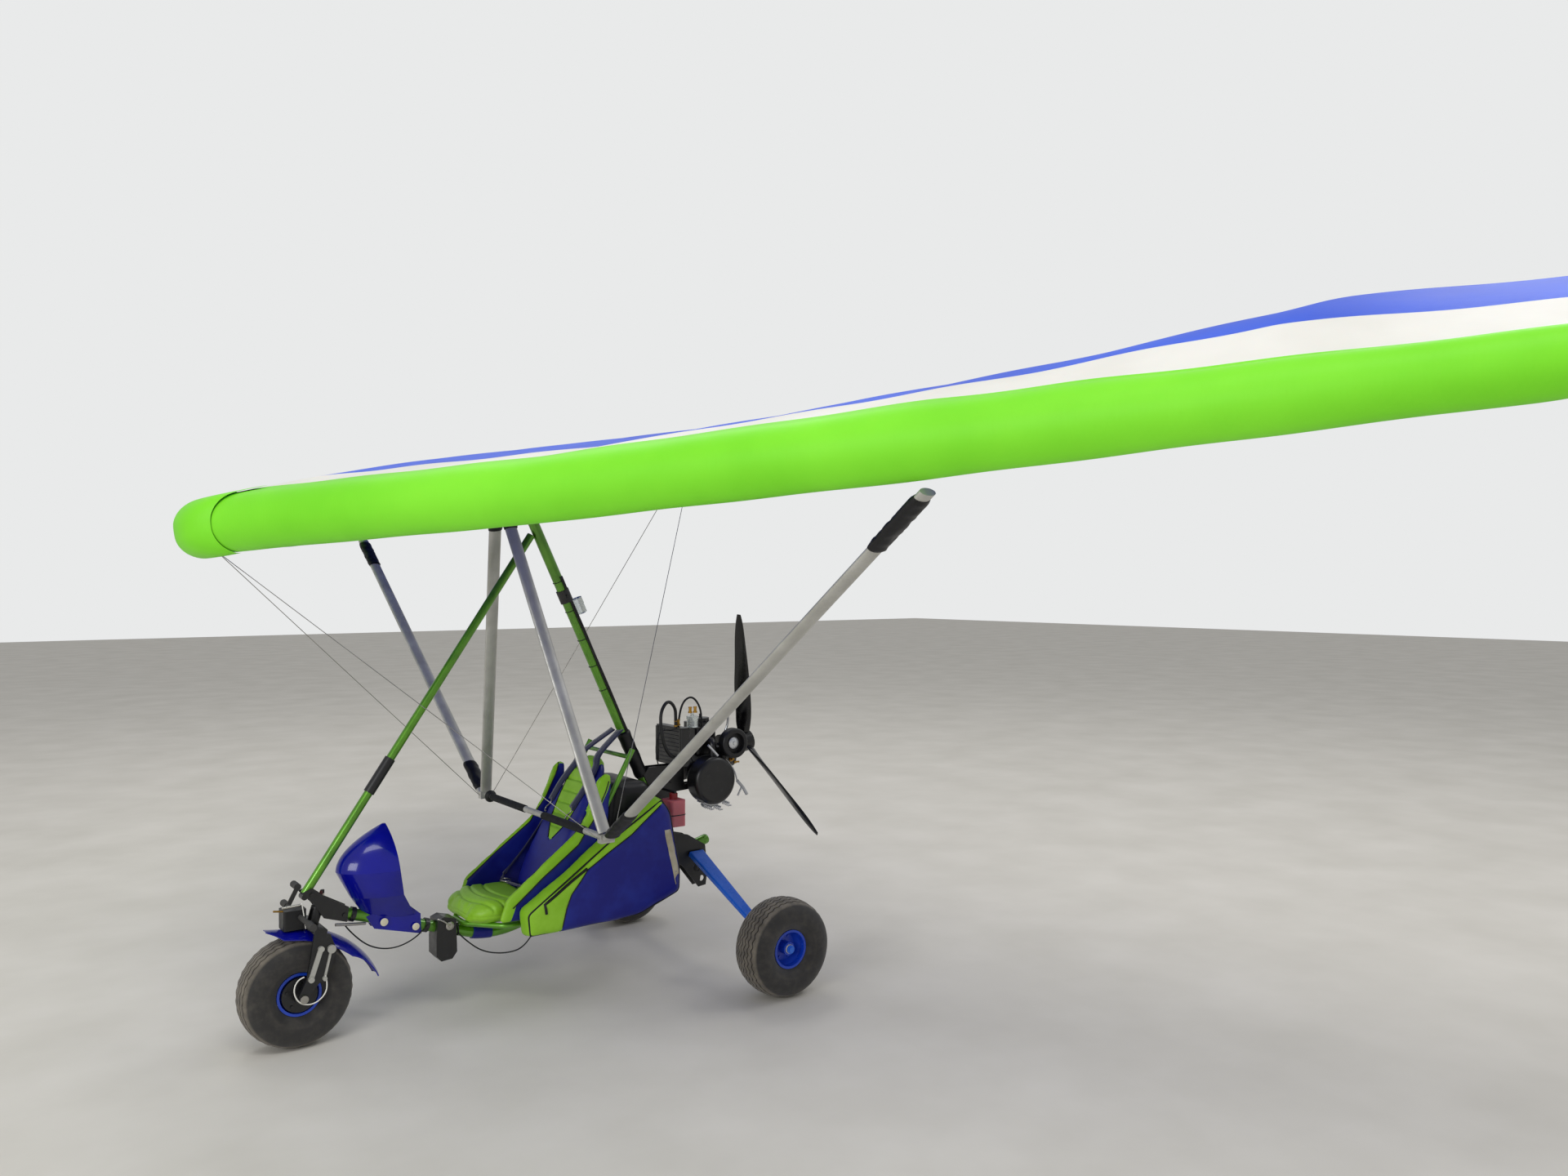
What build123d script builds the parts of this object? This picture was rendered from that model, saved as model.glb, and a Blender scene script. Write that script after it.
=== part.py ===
"""Single-seat weight-shift microlight trike: a three-wheeled pod with a pusher engine under a strutted wing.

Millimetres. +X is forward, +Y is to port, +Z is up, and the ground is Z = 0.
The origin is on the ground under the middle of the whole machine.
"""
import os
from math import atan2, cos, degrees, hypot, radians, sin

from build123d import *

os.makedirs("parts", exist_ok=True)

# Wheels and stance
NOSE_AXLE_X = 1220.0
WHEELBASE = 2000.0
TRACK = 1505.0
TYRE_RADIUS = 228.6
TYRE_WIDTH = 205.0
BEAD_RADIUS = 84.0
BEAD_WIDTH = 124.0
RIM_FLANGE_RADIUS = 90.0
RIM_WALL = 5.0
RIM_DISH = 26.0
RIM_BOLTS = 6
RIM_BOLT_CIRCLE = 104.0
HUB_RADIUS = 30.0
NOSE_HUB_HALF = 60.0
MAIN_HUB_HALF = 55.0
AXLE_RADIUS = 12.7
RUNNING_GAP = 0.3

# Steering
STEER_RAKE = 17.0
STEER_TOP = (-91.3, 569.0)
STEERER_RADIUS = 14.0
HEAD_RADIUS = 25.0
HEAD_LENGTH = 65.0
HEAD_NUT = 14.0
COLLAR_RADII = ((21.0, 0.0), (21.0, 8.0), (9.0, 34.0), (8.0, 52.0))
CROWN_THICKNESS = 24.0
CROWN_GAP = 2.0
CROWN_DEPTH = 56.0
FORK_LEG_INNER = 121.0
FORK_LEG_THICKNESS = 13.0
FORK_LEG = (
    (-108, 478), (-44, 498), (-30, 400), (-10, 300), (20, 240),
    (12, 210), (-14, 208), (-42, 262), (-100, 318), (-134, 405),
)
LINK_ENDS = ((-68.0, 425.0), (-28.0, 305.0))
DAMPER_ENDS = ((-110.0, 418.0), (-82.0, 300.0))
BRAKE_RADIUS = 72.0
BRAKE_INNER = 66.0
BRAKE_THICKNESS = 6.0
BRAKE_BOLTS = 5
PEG_RADIUS = 11.0
PEG_RUBBER_RADIUS = 15.0
PEG_RUBBER_LENGTH = 70.0
PEG_REACH = 235.0
PEG_BAR = (-12.0, 545.0)
CONTROL_BOX = (92.0, 88.0, 82.0)
CONTROL_BOX_CENTRE = (9.6, 535.0)
FENDER_THICKNESS = 4.0
FENDER_HALF_WIDTH = 88.0
FENDER_DROP = 42.0
FENDER_ROUTE = ((120, 502), (42, 492), (-60, 480), (-215, 406), (-345, 236))
FENDER_OUTLINE = ((135, 12), (60, 70), (-200, FENDER_HALF_WIDTH), (-372, 30))

# Frame tubes
KEEL_RADIUS = 25.4
KEEL_ROUTE = ((-128.0, 545.0), (-870.0, 306.0), (-2055.0, 595.0))
KEEL_BEND_RADIUS = 420.0
KEEL_CLAMPS = (-235.0, -558.0)
KEEL_CLAMP_LENGTH = 20.0
HEAD_PLATE = ((-214, 552), (-128, 602), (-62, 655), (-20, 640), (-70, 585), (-110, 520), (-206, 488))
HEAD_PLATE_THICKNESS = 5.0
REAR_PLATE = (
    (-1790, 560), (-1850, 660), (-1930, 640), (-2036, 575),
    (-2052, 450), (-2040, 365), (-1995, 360), (-1900, 480),
)
REAR_PLATE_THICKNESS = 6.0
REAR_PLATE_HOLES = ((-2015.0, 402.0, 15.0), (-1985.0, 462.0, 21.0))
MAST_RADIUS = 25.4
MAST_FOOT = (-1854.0, 581.0)
FRONT_STRUT_RADIUS = 19.0
FRONT_STRUT_FOOT = (-40.0, 630.0)
FRONT_STRUT_TOP = (-1098.0, 2205.0)
SLEEVE_FRONT = (-308.0, -403.0)
MAST_COLLAR = (-1235.0, -1262.0)
BEACON_RADIUS = 24.0
BEACON_LENGTH = 78.0
SEAT_TUBE_RADIUS = 12.7
LEG_ROOT = (-1975.0, 540.0)
LEG_THICKNESS = 24.0
LEG_CHORDS = (88.0, 46.0)

# Hang point and wing attitude
HANG_POINT = (-1025.0, 2360.0)
WING_NOSE = (397.0, 2161.0)
WING_PITCH = 10.72
WING_KEEL_RADIUS = 24.0
WING_KEEL_START = 260.4
WING_KEEL_END = 2425.0
HANG_BOLT_RADIUS = 6.0
TONGUE_WIDTH = 30.0
CHEEK_THICKNESS = 8.0

# Control frame and wing struts
BAR_CORNER = (-1119.0, 837.0, 657.0)
BAR_RADIUS = 14.5
BAR_SLEEVES = (  # inner end, outer end, radius
    (-572, -163, 18.0),
    (33, 466, 18.0),
    (-612, -575, 31.0),
)
DOWNTUBE_CHORD = 60.0
DOWNTUBE_THICKNESS = 27.0
STRUT_TOP = (1493.0, -227.0, 2662.0)
STRUT_CHORD = 64.0
STRUT_THICKNESS = 30.0
BOOT_WALL = 5.0
STRUT_BOOTS = ((30.0, 235.0), (-285.0, -35.0))
CORNER_BLOCK = (66.0, 34.0, 36.0)
WIRE_RADIUS = 1.6

# Wing stations to port: across, leading edge aft, chord, low front, high front, belly, crest, trailing edge
WING_STATIONS = (
    (0, -50, 2370, -105, 62, -70, 150, 48),
    (150, 23, 2300, -117, 75, -80, 148, 48),
    (1400, 714, 1930, -168, 55, -90, 80, 55),
    (2660, 1411, 1520, -195, 35, -75, 100, 70),
    (3400, 1820, 1284, -199, 3, -63, 138, 82),
    (4040, 2174, 1080, -203, -25, -50, 58, 92),
    (4700, 2600, 760, -172, -70, -15, 45, 102),
    (4950, 2900, 400, -95, -50, 10, 50, 92),
)
SLOT_HALF_WIDTH = 130.0
SLOT_START = 260.0
SLOT_TOP = 40.0
CONE_HALF_WIDTH = 190.0
BAND_FRONT = 235.0
BAND_DEPTH = 240.0
BAND_TAPER = 0.03
BAND_RAKE = 90.0
CONTROL_APEX = (1324.0, -26.0)

# Seat
SEAT_HALF_WIDTH = 230.0
SEAT_ABOVE_KEEL = 94.0
SEAT_TUBE_HEIGHT = KEEL_ROUTE[1][1] + SEAT_ABOVE_KEEL
SEAT_RAIL = ((-716, 60), (-850, 217.3), (-1085, 217.3))
SEAT_RAIL_REACH = (-1500.0, 740.0)
SEAT_CROSS_TUBES = (-1040.0, -1480.0)
SEAT_POSTS = (-716, -1040)
SEAT_SIDE_THICKNESS = 26.0
SEAT_SIDE = (  # ahead, above the seat tubes
    (-800, 20), (-838, 130), (-1000, 255), (-1165, 373), (-1245, 480), (-1300, 590),
    (-1324, 650), (-1376, 640), (-1345, 330), (-1200, 0),
)
CUSHION = ((-698, 0), (-690, 32), (-722, 72), (-800, 98), (-1042, 86), (-1042, 0))
CUSHION_CORNER = 130.0
SEAT_BACK_FOOT = (-1090.0, 55.0)
SEAT_BACK_TOP = (-1444.0, 684.0)
SEAT_BACK_THICKNESS = 55.0
SEAT_BACK_HALF = ((0, 150), (140, 196), (400, 196), (660, 138))
SEAT_BACK_LENGTH = 724.0
HARNESS_WIDTH = 48.0
HARNESS_THICKNESS = 5.0
HARNESS_OFFSET = 72.0
HARNESS_TIE = (-1558.0, -1544.0)
HARNESS_START = 150.0
POD = (
    (-873, 478), (-885, 345), (-1474, 355), (-1701, 443),
    (-1710, 560), (-1652, 850), (-1592, 936), (-1301, 765),
)
POD_DEPTH = 100.0
POD_TAPER = 8.0
TANK = ((-1408, 990), (-1618, 982), (-1665, 870))
TANK_ENDS = (-1345.0, -1665.0)
TANK_HALF_WIDTH = 190.0
SOFT_GAP = 0.4

# Fairing: height, nose, rear edge, half width
FAIRING_LOW = ((470, -305, -500, 29.5), (585, -228, -428, 104), (700, -168, -404, 130))
FAIRING_HIGH = ((700, -168, -404, 130), (772, -199, -397, 108), (835, -272, -388, 70), (888, -366, -379, 7))
FAIRING_WALL = 3.0
FAIRING_PLATE = ((-287, 495), (-420, 540), (-470, 520), (-527, 470), (-530, 380), (-322, 438))
KEEL_BOX = (
    (-592, 268), (-592, 345), (-598, 428), (-628, 440), (-684, 424), (-688, 275), (-666, 246), (-615, 242),
)
KEEL_BOX_HALF_WIDTH = 48.0

# Engine and propeller
PROP_HUB = (-2311.0, 1091.0)
PROP_TILT = 8.0
PROP_BLADES = 3
PROP_FIRST_BLADE = 83.0
PROP_HUB_RADIUS = 55.0
PROP_HUB_HALF = 28.0
PROP_BOLT_CIRCLE = 75.0
PROP_BOLT_RADIUS = 4.1
PROP_BOLTS = 6
BLADE_SECTIONS = (  # distance, chord, thickness, twist
    (30, 46, 34, 55),
    (140, 84, 24, 44),
    (300, 94, 16, 28),
    (500, 76, 11, 19),
    (640, 52, 8, 14),
    (696, 26, 5, 12),
)
CRANK = (-30.0, 1000.0)
CRANK_MIDDLE = -2035.0
CRANKCASE_RADIUS = 70.0
CRANKCASE_SPAN = (-116.0, 130.0)
FLYWHEEL = (-74.0, -52.0)
BARREL = (126.0, 118.0, 132.0)
BARREL_AHEAD = -2048.0
HEAD_SIZE = (142.0, 134.0, 52.0)
HEAD_BOLTS = 6
DRIVE_DEPTH = 66.0
DRIVE_RADIUS = 68.0
PROP_SHAFT_RADIUS = 17.0
MUFFLER = (-2025.0, 925.0)
MUFFLER_RADIUS = 122.0
MUFFLER_SPAN = (50.0, 162.0)
FILTER = (-2150.0, 1107.0)
FILTER_RADIUS = 78.0
FILTER_WALL = 25.0
FILTER_SPAN = (98.0, 152.0)
RADIATOR = (-1834.0, 1010.4)
RADIATOR_SIZE = (46.0, 250.0, 196.0)
RADIATOR_TANK = 26.0
BOWL = (-1918.0, 95.0)
BOWL_RADIUS = 28.0
BOWL_HEIGHT = 70.0
SHELF = (72.0, 60.0, 5.0)
BOTTLE = (-1760.0, 733.0, 168.0)
BOTTLE_SIZE = (88.0, 104.0, 130.0)
BOTTLE_CAP = (20.0, 30.0)
MOUNT_PLATE = (
    (-1752, 800), (-1668, 975), (-1700, 1010), (-1905, 1010),
    (-1905, 904), (-2010, 904), (-2010, 880), (-1860, 872),
)
MOUNT_THICKNESS = 8.0
CARBURETTOR = (-2125.0, 1062.0)
CARBURETTOR_RADIUS = 22.0


def at(ahead, up, across=0.0):
    """A point measured ahead of the nose axle, above the ground and to port."""
    return Vector(NOSE_AXLE_X + ahead, across, up)


def on_wing(aft, up, across=0.0):
    """A point measured aft of the wing's nose along its keel, square above the keel, and to port."""
    lean = radians(WING_PITCH)
    ahead = WING_NOSE[0] - aft * cos(lean) + up * sin(lean)
    height = WING_NOSE[1] + aft * sin(lean) + up * cos(lean)
    return at(ahead, height, across)


def rod(start, end, radius, mode=Mode.ADD):
    """A round bar between two points."""
    with BuildSketch(Plane(origin=start, z_dir=end - start)) as section:
        Circle(radius)
    extrude(section.sketch, amount=(end - start).length, mode=mode)


def streamlined(start, end, chord, thickness, mode=Mode.ADD):
    """A faired tube between two points, its long section axis pointing forward."""
    along = (end - start).normalized()
    forward = Vector(1, 0, 0)
    chord_way = (forward - along * forward.dot(along)).normalized()
    with BuildSketch(Plane(origin=start, x_dir=chord_way, z_dir=along)) as section:
        Ellipse(chord / 2, thickness / 2)
    extrude(section.sketch, amount=(end - start).length, mode=mode)


def flanks(distance, thickness):
    """The low-Y faces of a port plate this far from the centre plane, and of its starboard twin."""
    return distance, -distance - thickness


def side_plate(corners, inner, thickness, mode=Mode.ADD):
    """A flat plate parallel to the centre plane from (ahead, up) corners, its low-Y face at inner."""
    with BuildSketch(Plane.XZ.offset(-inner)) as outline:
        with BuildLine():
            Polyline(*[(NOSE_AXLE_X + ahead, up) for ahead, up in corners], close=True)
        make_face()
    extrude(outline.sketch, amount=-thickness, mode=mode)


def disc(centre, inner, radius, thickness, mode=Mode.ADD):
    """A short round along Y from an (ahead, up) centre, its low-Y face at inner."""
    rod(at(*centre, inner), at(*centre, inner + thickness), radius, mode)


def strap(start, end, width, inner, thickness):
    """A round-ended flat bar between two (ahead, up) points, its low-Y face at inner."""
    (x0, z0), (x1, z1) = start, end
    with BuildSketch(Plane.XZ.offset(-inner)) as outline:
        with Locations((NOSE_AXLE_X + (x0 + x1) / 2, (z0 + z1) / 2)):
            SlotCenterToCenter(hypot(x1 - x0, z1 - z0), width, rotation=degrees(atan2(z1 - z0, x1 - x0)))
    extrude(outline.sketch, amount=-thickness)


def keel_centre(ahead):
    """The height of the keel's centre line on its straight runs."""
    front, low, rear = KEEL_ROUTE
    start, end = (front, low) if ahead > low[0] else (low, rear)
    return start[1] + (end[1] - start[1]) * (ahead - start[0]) / (end[0] - start[0])


def keel_top(ahead, half_length=0.0):
    """The height that a piece standing on the keel starts from, with its small seating gap."""
    high = max(keel_centre(ahead - half_length), keel_centre(ahead + half_length))
    return high + KEEL_RADIUS * 1.04 + SOFT_GAP


def write(part, name):
    """Label one finished piece and write it as its own file."""
    part.label = name
    export_step(part, f"parts/{name}.step")


# Wheels: the tyre, the rim with its hub, and what each turns on
def tyre(centre):
    """A round-shouldered low-pressure tyre on an axle along Y."""
    half = TYRE_WIDTH / 2
    shoulder = TYRE_RADIUS - 16
    bulge = (TYRE_RADIUS + BEAD_RADIUS) / 2
    bead = BEAD_WIDTH / 2
    wall_foot = RIM_FLANGE_RADIUS + 1
    with BuildSketch(Plane(origin=centre, x_dir=(0, 1, 0), z_dir=(1, 0, 0))) as profile:
        with BuildLine():
            Polyline((-bead, wall_foot), (-bead, BEAD_RADIUS), (bead, BEAD_RADIUS), (bead, wall_foot))
            ThreePointArc((bead, wall_foot), (half, bulge), (half - 26, shoulder))
            ThreePointArc((half - 26, shoulder), (0, TYRE_RADIUS), (26 - half, shoulder))
            ThreePointArc((26 - half, shoulder), (-half, bulge), (-bead, wall_foot))
        make_face()
    revolve(profile.sketch, axis=Axis(centre, (0, 1, 0)))


def rim(centre, hub_half, outward):
    """A two-flanged rim with a dished, bolted web and a bored hub, its dish open on the outward side."""
    bore = AXLE_RADIUS + RUNNING_GAP
    flange_at = BEAD_WIDTH / 2 + RIM_WALL / 2
    flange_low = BEAD_RADIUS - RIM_WALL
    with BuildSketch(Plane(origin=centre, x_dir=(0, outward, 0), z_dir=(outward, 0, 0))) as profile:
        with Locations((0, BEAD_RADIUS - RIM_WALL / 2)):
            Rectangle(BEAD_WIDTH + 2 * RIM_WALL, RIM_WALL)
        with Locations((flange_at, flange_low), (-flange_at, flange_low)):
            Rectangle(RIM_WALL, RIM_FLANGE_RADIUS - flange_low, align=(Align.CENTER, Align.MIN))
        with BuildLine():
            Polyline(
                (RIM_DISH, flange_low + 1),
                (RIM_DISH + 12, flange_low + 1),
                (2 * RIM_WALL, RIM_BOLT_CIRCLE / 2 + 10),
                (2 * RIM_WALL, HUB_RADIUS - 1),
                (0, HUB_RADIUS - 1),
                (0, RIM_BOLT_CIRCLE / 2 + 12),
                close=True,
            )
        make_face()
        with Locations((0, bore)):
            Rectangle(2 * hub_half, HUB_RADIUS - bore, align=(Align.CENTER, Align.MIN))
    revolve(profile.sketch, axis=Axis(centre, (0, 1, 0)))
    web_face = centre + Vector(0, outward * (2 * RIM_WALL - 1), 0)
    with BuildSketch(Plane(origin=web_face, x_dir=(1, 0, 0), z_dir=(0, outward, 0))) as bolts:
        with PolarLocations(RIM_BOLT_CIRCLE / 2, RIM_BOLTS):
            RegularPolygon(7, 6)
    extrude(bolts.sketch, amount=RIM_WALL + 1)


nose_axle = at(0, TYRE_RADIUS)
main_wheels = {"port": 1, "starboard": -1}

with BuildPart() as nose_tyre:
    tyre(nose_axle)
write(nose_tyre.part, "nose_tyre")

with BuildPart() as nose_rim:
    rim(nose_axle, NOSE_HUB_HALF, -1)
write(nose_rim.part, "nose_rim")

for side, outward in main_wheels.items():
    centre = at(-WHEELBASE, TYRE_RADIUS, outward * TRACK / 2)
    with BuildPart() as main_tyre:
        tyre(centre)
    write(main_tyre.part, f"main_tyre_{side}")
    with BuildPart() as main_rim:
        rim(centre, MAIN_HUB_HALF, outward)
    write(main_rim.part, f"main_rim_{side}")

# Steering: the head tube on the keel, the fork with its links, brake, pegs, control box and mudguard
rake = radians(STEER_RAKE)
steer_down = Vector(sin(rake), 0, -cos(rake))
head_top = at(*STEER_TOP)
head_foot = head_top + steer_down * HEAD_LENGTH
crown_top = head_foot + steer_down * CROWN_GAP
crown_mid = crown_top + steer_down * CROWN_THICKNESS / 2
fork_outer = FORK_LEG_INNER + FORK_LEG_THICKNESS

with BuildPart() as steering_head:
    rod(head_top, head_foot, HEAD_RADIUS)
    rod(head_top - steer_down, head_foot + steer_down, STEERER_RADIUS + RUNNING_GAP, Mode.SUBTRACT)
write(steering_head.part, "steering_head")

with BuildPart() as fork:
    rod(head_top - steer_down * HEAD_NUT, crown_mid, STEERER_RADIUS)
    rod(head_top - steer_down * HEAD_NUT, head_top - steer_down * CROWN_GAP, STEERER_RADIUS + 7)
    with BuildSketch(Plane(origin=crown_top, x_dir=(0, 1, 0), z_dir=steer_down)):
        RectangleRounded(2 * fork_outer, CROWN_DEPTH, 6)
    extrude(amount=CROWN_THICKNESS)
    for inner in flanks(FORK_LEG_INNER, FORK_LEG_THICKNESS):
        side_plate(FORK_LEG, inner, FORK_LEG_THICKNESS)
write(fork.part, "fork")

collar_foot = head_top - steer_down * (HEAD_NUT + RUNNING_GAP)
with BuildPart() as head_collar:
    for radius, height in COLLAR_RADII:
        with BuildSketch(Plane(origin=collar_foot - steer_down * height, z_dir=-steer_down)):
            Circle(radius)
    loft(ruled=True)
write(head_collar.part, "head_collar")

with BuildPart() as fork_links:
    for inner in flanks(fork_outer + SOFT_GAP, 7):
        strap(*LINK_ENDS, 20, inner, 7)
        strap(*DAMPER_ENDS, 9, inner, 7)
    for inner in flanks(fork_outer + SOFT_GAP, 14):
        disc(DAMPER_ENDS[0], inner, 17, 14)
        disc(DAMPER_ENDS[1], inner, 9, 14)
        for end in LINK_ENDS:
            disc(end, inner, 12, 14)
write(fork_links.part, "fork_links")

with BuildPart() as front_axle:
    reach = FORK_LEG_INNER
    rod(nose_axle + Vector(0, -reach, 0), nose_axle + Vector(0, reach, 0), AXLE_RADIUS)
    for inner in flanks(fork_outer + SOFT_GAP, 12):
        disc((0, TYRE_RADIUS), inner, AXLE_RADIUS + 4, 12)
write(front_axle.part, "front_axle")

brake_outer = BRAKE_INNER + BRAKE_THICKNESS
with BuildPart() as brake_plate:
    disc((0, TYRE_RADIUS), BRAKE_INNER, BRAKE_RADIUS, BRAKE_THICKNESS)
    disc((0, TYRE_RADIUS), brake_outer, HUB_RADIUS, FORK_LEG_INNER - brake_outer - SOFT_GAP)
    with BuildSketch(Plane(origin=nose_axle + Vector(0, brake_outer - 1, 0), z_dir=(0, 1, 0))):
        with PolarLocations(BRAKE_RADIUS * 0.75, BRAKE_BOLTS):
            RegularPolygon(7, 6)
    extrude(amount=RIM_WALL + 1)
    disc((0, TYRE_RADIUS), BRAKE_INNER - 1, AXLE_RADIUS + RUNNING_GAP, FORK_LEG_INNER, Mode.SUBTRACT)
write(brake_plate.part, "brake_plate")

box_centre = at(*CONTROL_BOX_CENTRE)
with BuildPart() as control_box:
    with BuildSketch(Plane(origin=box_centre - Vector(0, 0, CONTROL_BOX[2] / 2))):
        RectangleRounded(*CONTROL_BOX[:2], 10)
    extrude(amount=CONTROL_BOX[2])
    rod(at(*PEG_BAR, -CONTROL_BOX[1]), at(*PEG_BAR, CONTROL_BOX[1]), PEG_RADIUS + RUNNING_GAP, Mode.SUBTRACT)
write(control_box.part, "control_box")

with BuildPart() as foot_pegs:
    rod(at(*PEG_BAR, -PEG_REACH), at(*PEG_BAR, PEG_REACH), PEG_RADIUS)
    for inner in flanks(PEG_REACH - PEG_RUBBER_LENGTH, PEG_RUBBER_LENGTH):
        disc(PEG_BAR, inner, PEG_RUBBER_RADIUS, PEG_RUBBER_LENGTH)
    pedal = (PEG_BAR[0] - 40, PEG_BAR[1] + 78)
    strap(PEG_BAR, pedal, 18, -PEG_REACH + PEG_RUBBER_LENGTH, 8)
    disc(pedal, -PEG_REACH + 8, PEG_RUBBER_RADIUS, PEG_RUBBER_LENGTH)
write(foot_pegs.part, "foot_pegs")

# The mudguard is an arch swept along its crest, then trimmed to a beak and a tail seen from above
with BuildPart() as fender:
    with BuildLine() as crest:
        Spline(*[at(*point) for point in FENDER_ROUTE])
    beak, beak_way = crest.line @ 0, crest.line % 0
    with BuildSketch(Plane(origin=beak, x_dir=(0, 1, 0), z_dir=-beak_way)):
        with BuildLine():
            inner_half = FENDER_HALF_WIDTH - FENDER_THICKNESS
            low, low_inner = -FENDER_DROP, -FENDER_DROP - 1
            ThreePointArc((-FENDER_HALF_WIDTH, low), (0, 0), (FENDER_HALF_WIDTH, low))
            Line((FENDER_HALF_WIDTH, low), (inner_half, low_inner))
            ThreePointArc((inner_half, low_inner), (0, -FENDER_THICKNESS), (-inner_half, low_inner))
            Line((-inner_half, low_inner), (-FENDER_HALF_WIDTH, low))
        make_face()
    sweep(path=crest.line)
    with BuildSketch(Plane.XY):
        starboard = [(ahead, -across) for ahead, across in reversed(FENDER_OUTLINE)]
        with BuildLine():
            Polyline(*[(NOSE_AXLE_X + a, y) for a, y in (*FENDER_OUTLINE, *starboard)], close=True)
        make_face()
    extrude(amount=600, mode=Mode.INTERSECT)
write(fender.part, "fender")

# Frame: the bent keel, the mast, the front strut and the plates that join them
keel_points = [at(*point) for point in KEEL_ROUTE]
with BuildPart() as keel_tube:
    with BuildLine() as keel_line:
        FilletPolyline(*keel_points, radius=KEEL_BEND_RADIUS)
    with BuildSketch(Plane(origin=keel_points[0], z_dir=keel_points[1] - keel_points[0])):
        Circle(KEEL_RADIUS)
    sweep(path=keel_line.line)
write(keel_tube.part, "keel_tube")

mast_foot = at(*MAST_FOOT)
hang_point = at(*HANG_POINT)
mast_way = (hang_point - mast_foot).normalized()
mast_top = hang_point - mast_way * 45
with BuildPart() as mast:
    rod(mast_foot, mast_top, MAST_RADIUS)
write(mast.part, "mast")


def on_mast(ahead):
    """The point of the mast's centre line that lies this far ahead of the nose axle."""
    share = (ahead - MAST_FOOT[0]) / (HANG_POINT[0] - MAST_FOOT[0])
    return mast_foot + (hang_point - mast_foot) * share


cheek_inner = TONGUE_WIDTH / 2 + 0.5
with BuildPart() as mast_head:
    for start in flanks(cheek_inner, CHEEK_THICKNESS):
        with BuildSketch(Plane(origin=hang_point + Vector(0, start, 0), x_dir=-mast_way, z_dir=(0, 1, 0))):
            with Locations((34, 0)):
                Rectangle(96, 34)
            Circle(17)
        extrude(amount=CHEEK_THICKNESS)
    rod(hang_point - mast_way * 46, hang_point - mast_way * 130, MAST_RADIUS + 5)
    rod(hang_point - mast_way * 45, hang_point - mast_way * 131, MAST_RADIUS, Mode.SUBTRACT)
    bolt_end = cheek_inner + CHEEK_THICKNESS + 8
    rod(hang_point - Vector(0, bolt_end, 0), hang_point + Vector(0, bolt_end, 0), HANG_BOLT_RADIUS)
write(mast_head.part, "mast_head")

mast_collar = [on_mast(ahead) for ahead in reversed(MAST_COLLAR)]
clamps = [(*mast_collar, MAST_RADIUS)]
for ahead in KEEL_CLAMPS:
    middle = at(ahead, keel_centre(ahead))
    along = (at(ahead + 1, keel_centre(ahead + 1)) - middle).normalized() * KEEL_CLAMP_LENGTH / 2
    clamps.append((middle - along, middle + along, KEEL_RADIUS))
with BuildPart() as frame_clamps:
    for start, end, radius in clamps:
        overrun = (end - start).normalized()
        rod(start, end, radius + 6)
        rod(start - overrun, end + overrun, radius + RUNNING_GAP, Mode.SUBTRACT)
        for sign in (-1, 1):
            bolt = (start + end) * 0.5 + Vector(0, sign * (radius + 4), 0)
            rod(bolt, bolt + Vector(0, sign * 9, 0), 8)
write(frame_clamps.part, "frame_clamps")

mast_back = Vector(-mast_way.Z, 0, mast_way.X)
beacon_foot = on_mast(MAST_COLLAR[1] - 2) + mast_back * (MAST_RADIUS + BEACON_RADIUS + 2 + SOFT_GAP)
with BuildPart() as beacon:
    rod(beacon_foot, beacon_foot - mast_way * BEACON_LENGTH, BEACON_RADIUS)
    rod(beacon_foot, beacon_foot - mast_way * BEACON_LENGTH * 0.45, BEACON_RADIUS + 2)
write(beacon.part, "beacon")

strut_foot = at(*FRONT_STRUT_FOOT)
strut_top = at(*FRONT_STRUT_TOP)
strut_way = (strut_top - strut_foot).normalized()
with BuildPart() as front_strut:
    rod(strut_foot, strut_top - strut_way * 42.8, FRONT_STRUT_RADIUS)
write(front_strut.part, "front_strut")


def on_front_strut(ahead):
    """The point of the front strut's centre line that lies this far ahead of the nose axle."""
    share = (ahead - FRONT_STRUT_FOOT[0]) / (FRONT_STRUT_TOP[0] - FRONT_STRUT_FOOT[0])
    return strut_foot + (strut_top - strut_foot) * share


with BuildPart() as strut_sleeve:
    low, high = (on_front_strut(ahead) for ahead in SLEEVE_FRONT)
    rod(low, high, FRONT_STRUT_RADIUS + 5)
    rod(low - strut_way, high + strut_way, FRONT_STRUT_RADIUS, Mode.SUBTRACT)
write(strut_sleeve.part, "strut_sleeve")

head_bolt = strut_foot - strut_way * 12.4
plate_reach = Vector(0, KEEL_RADIUS, 0)
with BuildPart() as head_plates:
    for inner in flanks(KEEL_RADIUS, HEAD_PLATE_THICKNESS):
        side_plate(HEAD_PLATE, inner, HEAD_PLATE_THICKNESS)
    rod(head_bolt - plate_reach, head_bolt + plate_reach, 12)
    for inner in flanks(KEEL_RADIUS + HEAD_PLATE_THICKNESS - 1, 8):
        disc((-195, 520), inner, 9, 8)
        disc((-62, 628), inner, 9, 8)
write(head_plates.part, "head_plates")

with BuildPart() as rear_plates:
    for inner in flanks(KEEL_RADIUS, REAR_PLATE_THICKNESS):
        side_plate(REAR_PLATE, inner, REAR_PLATE_THICKNESS)
        for ahead, up, radius in REAR_PLATE_HOLES:
            disc((ahead, up), inner - 1, radius, REAR_PLATE_THICKNESS + 2, Mode.SUBTRACT)
write(rear_plates.part, "rear_plates")

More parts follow.
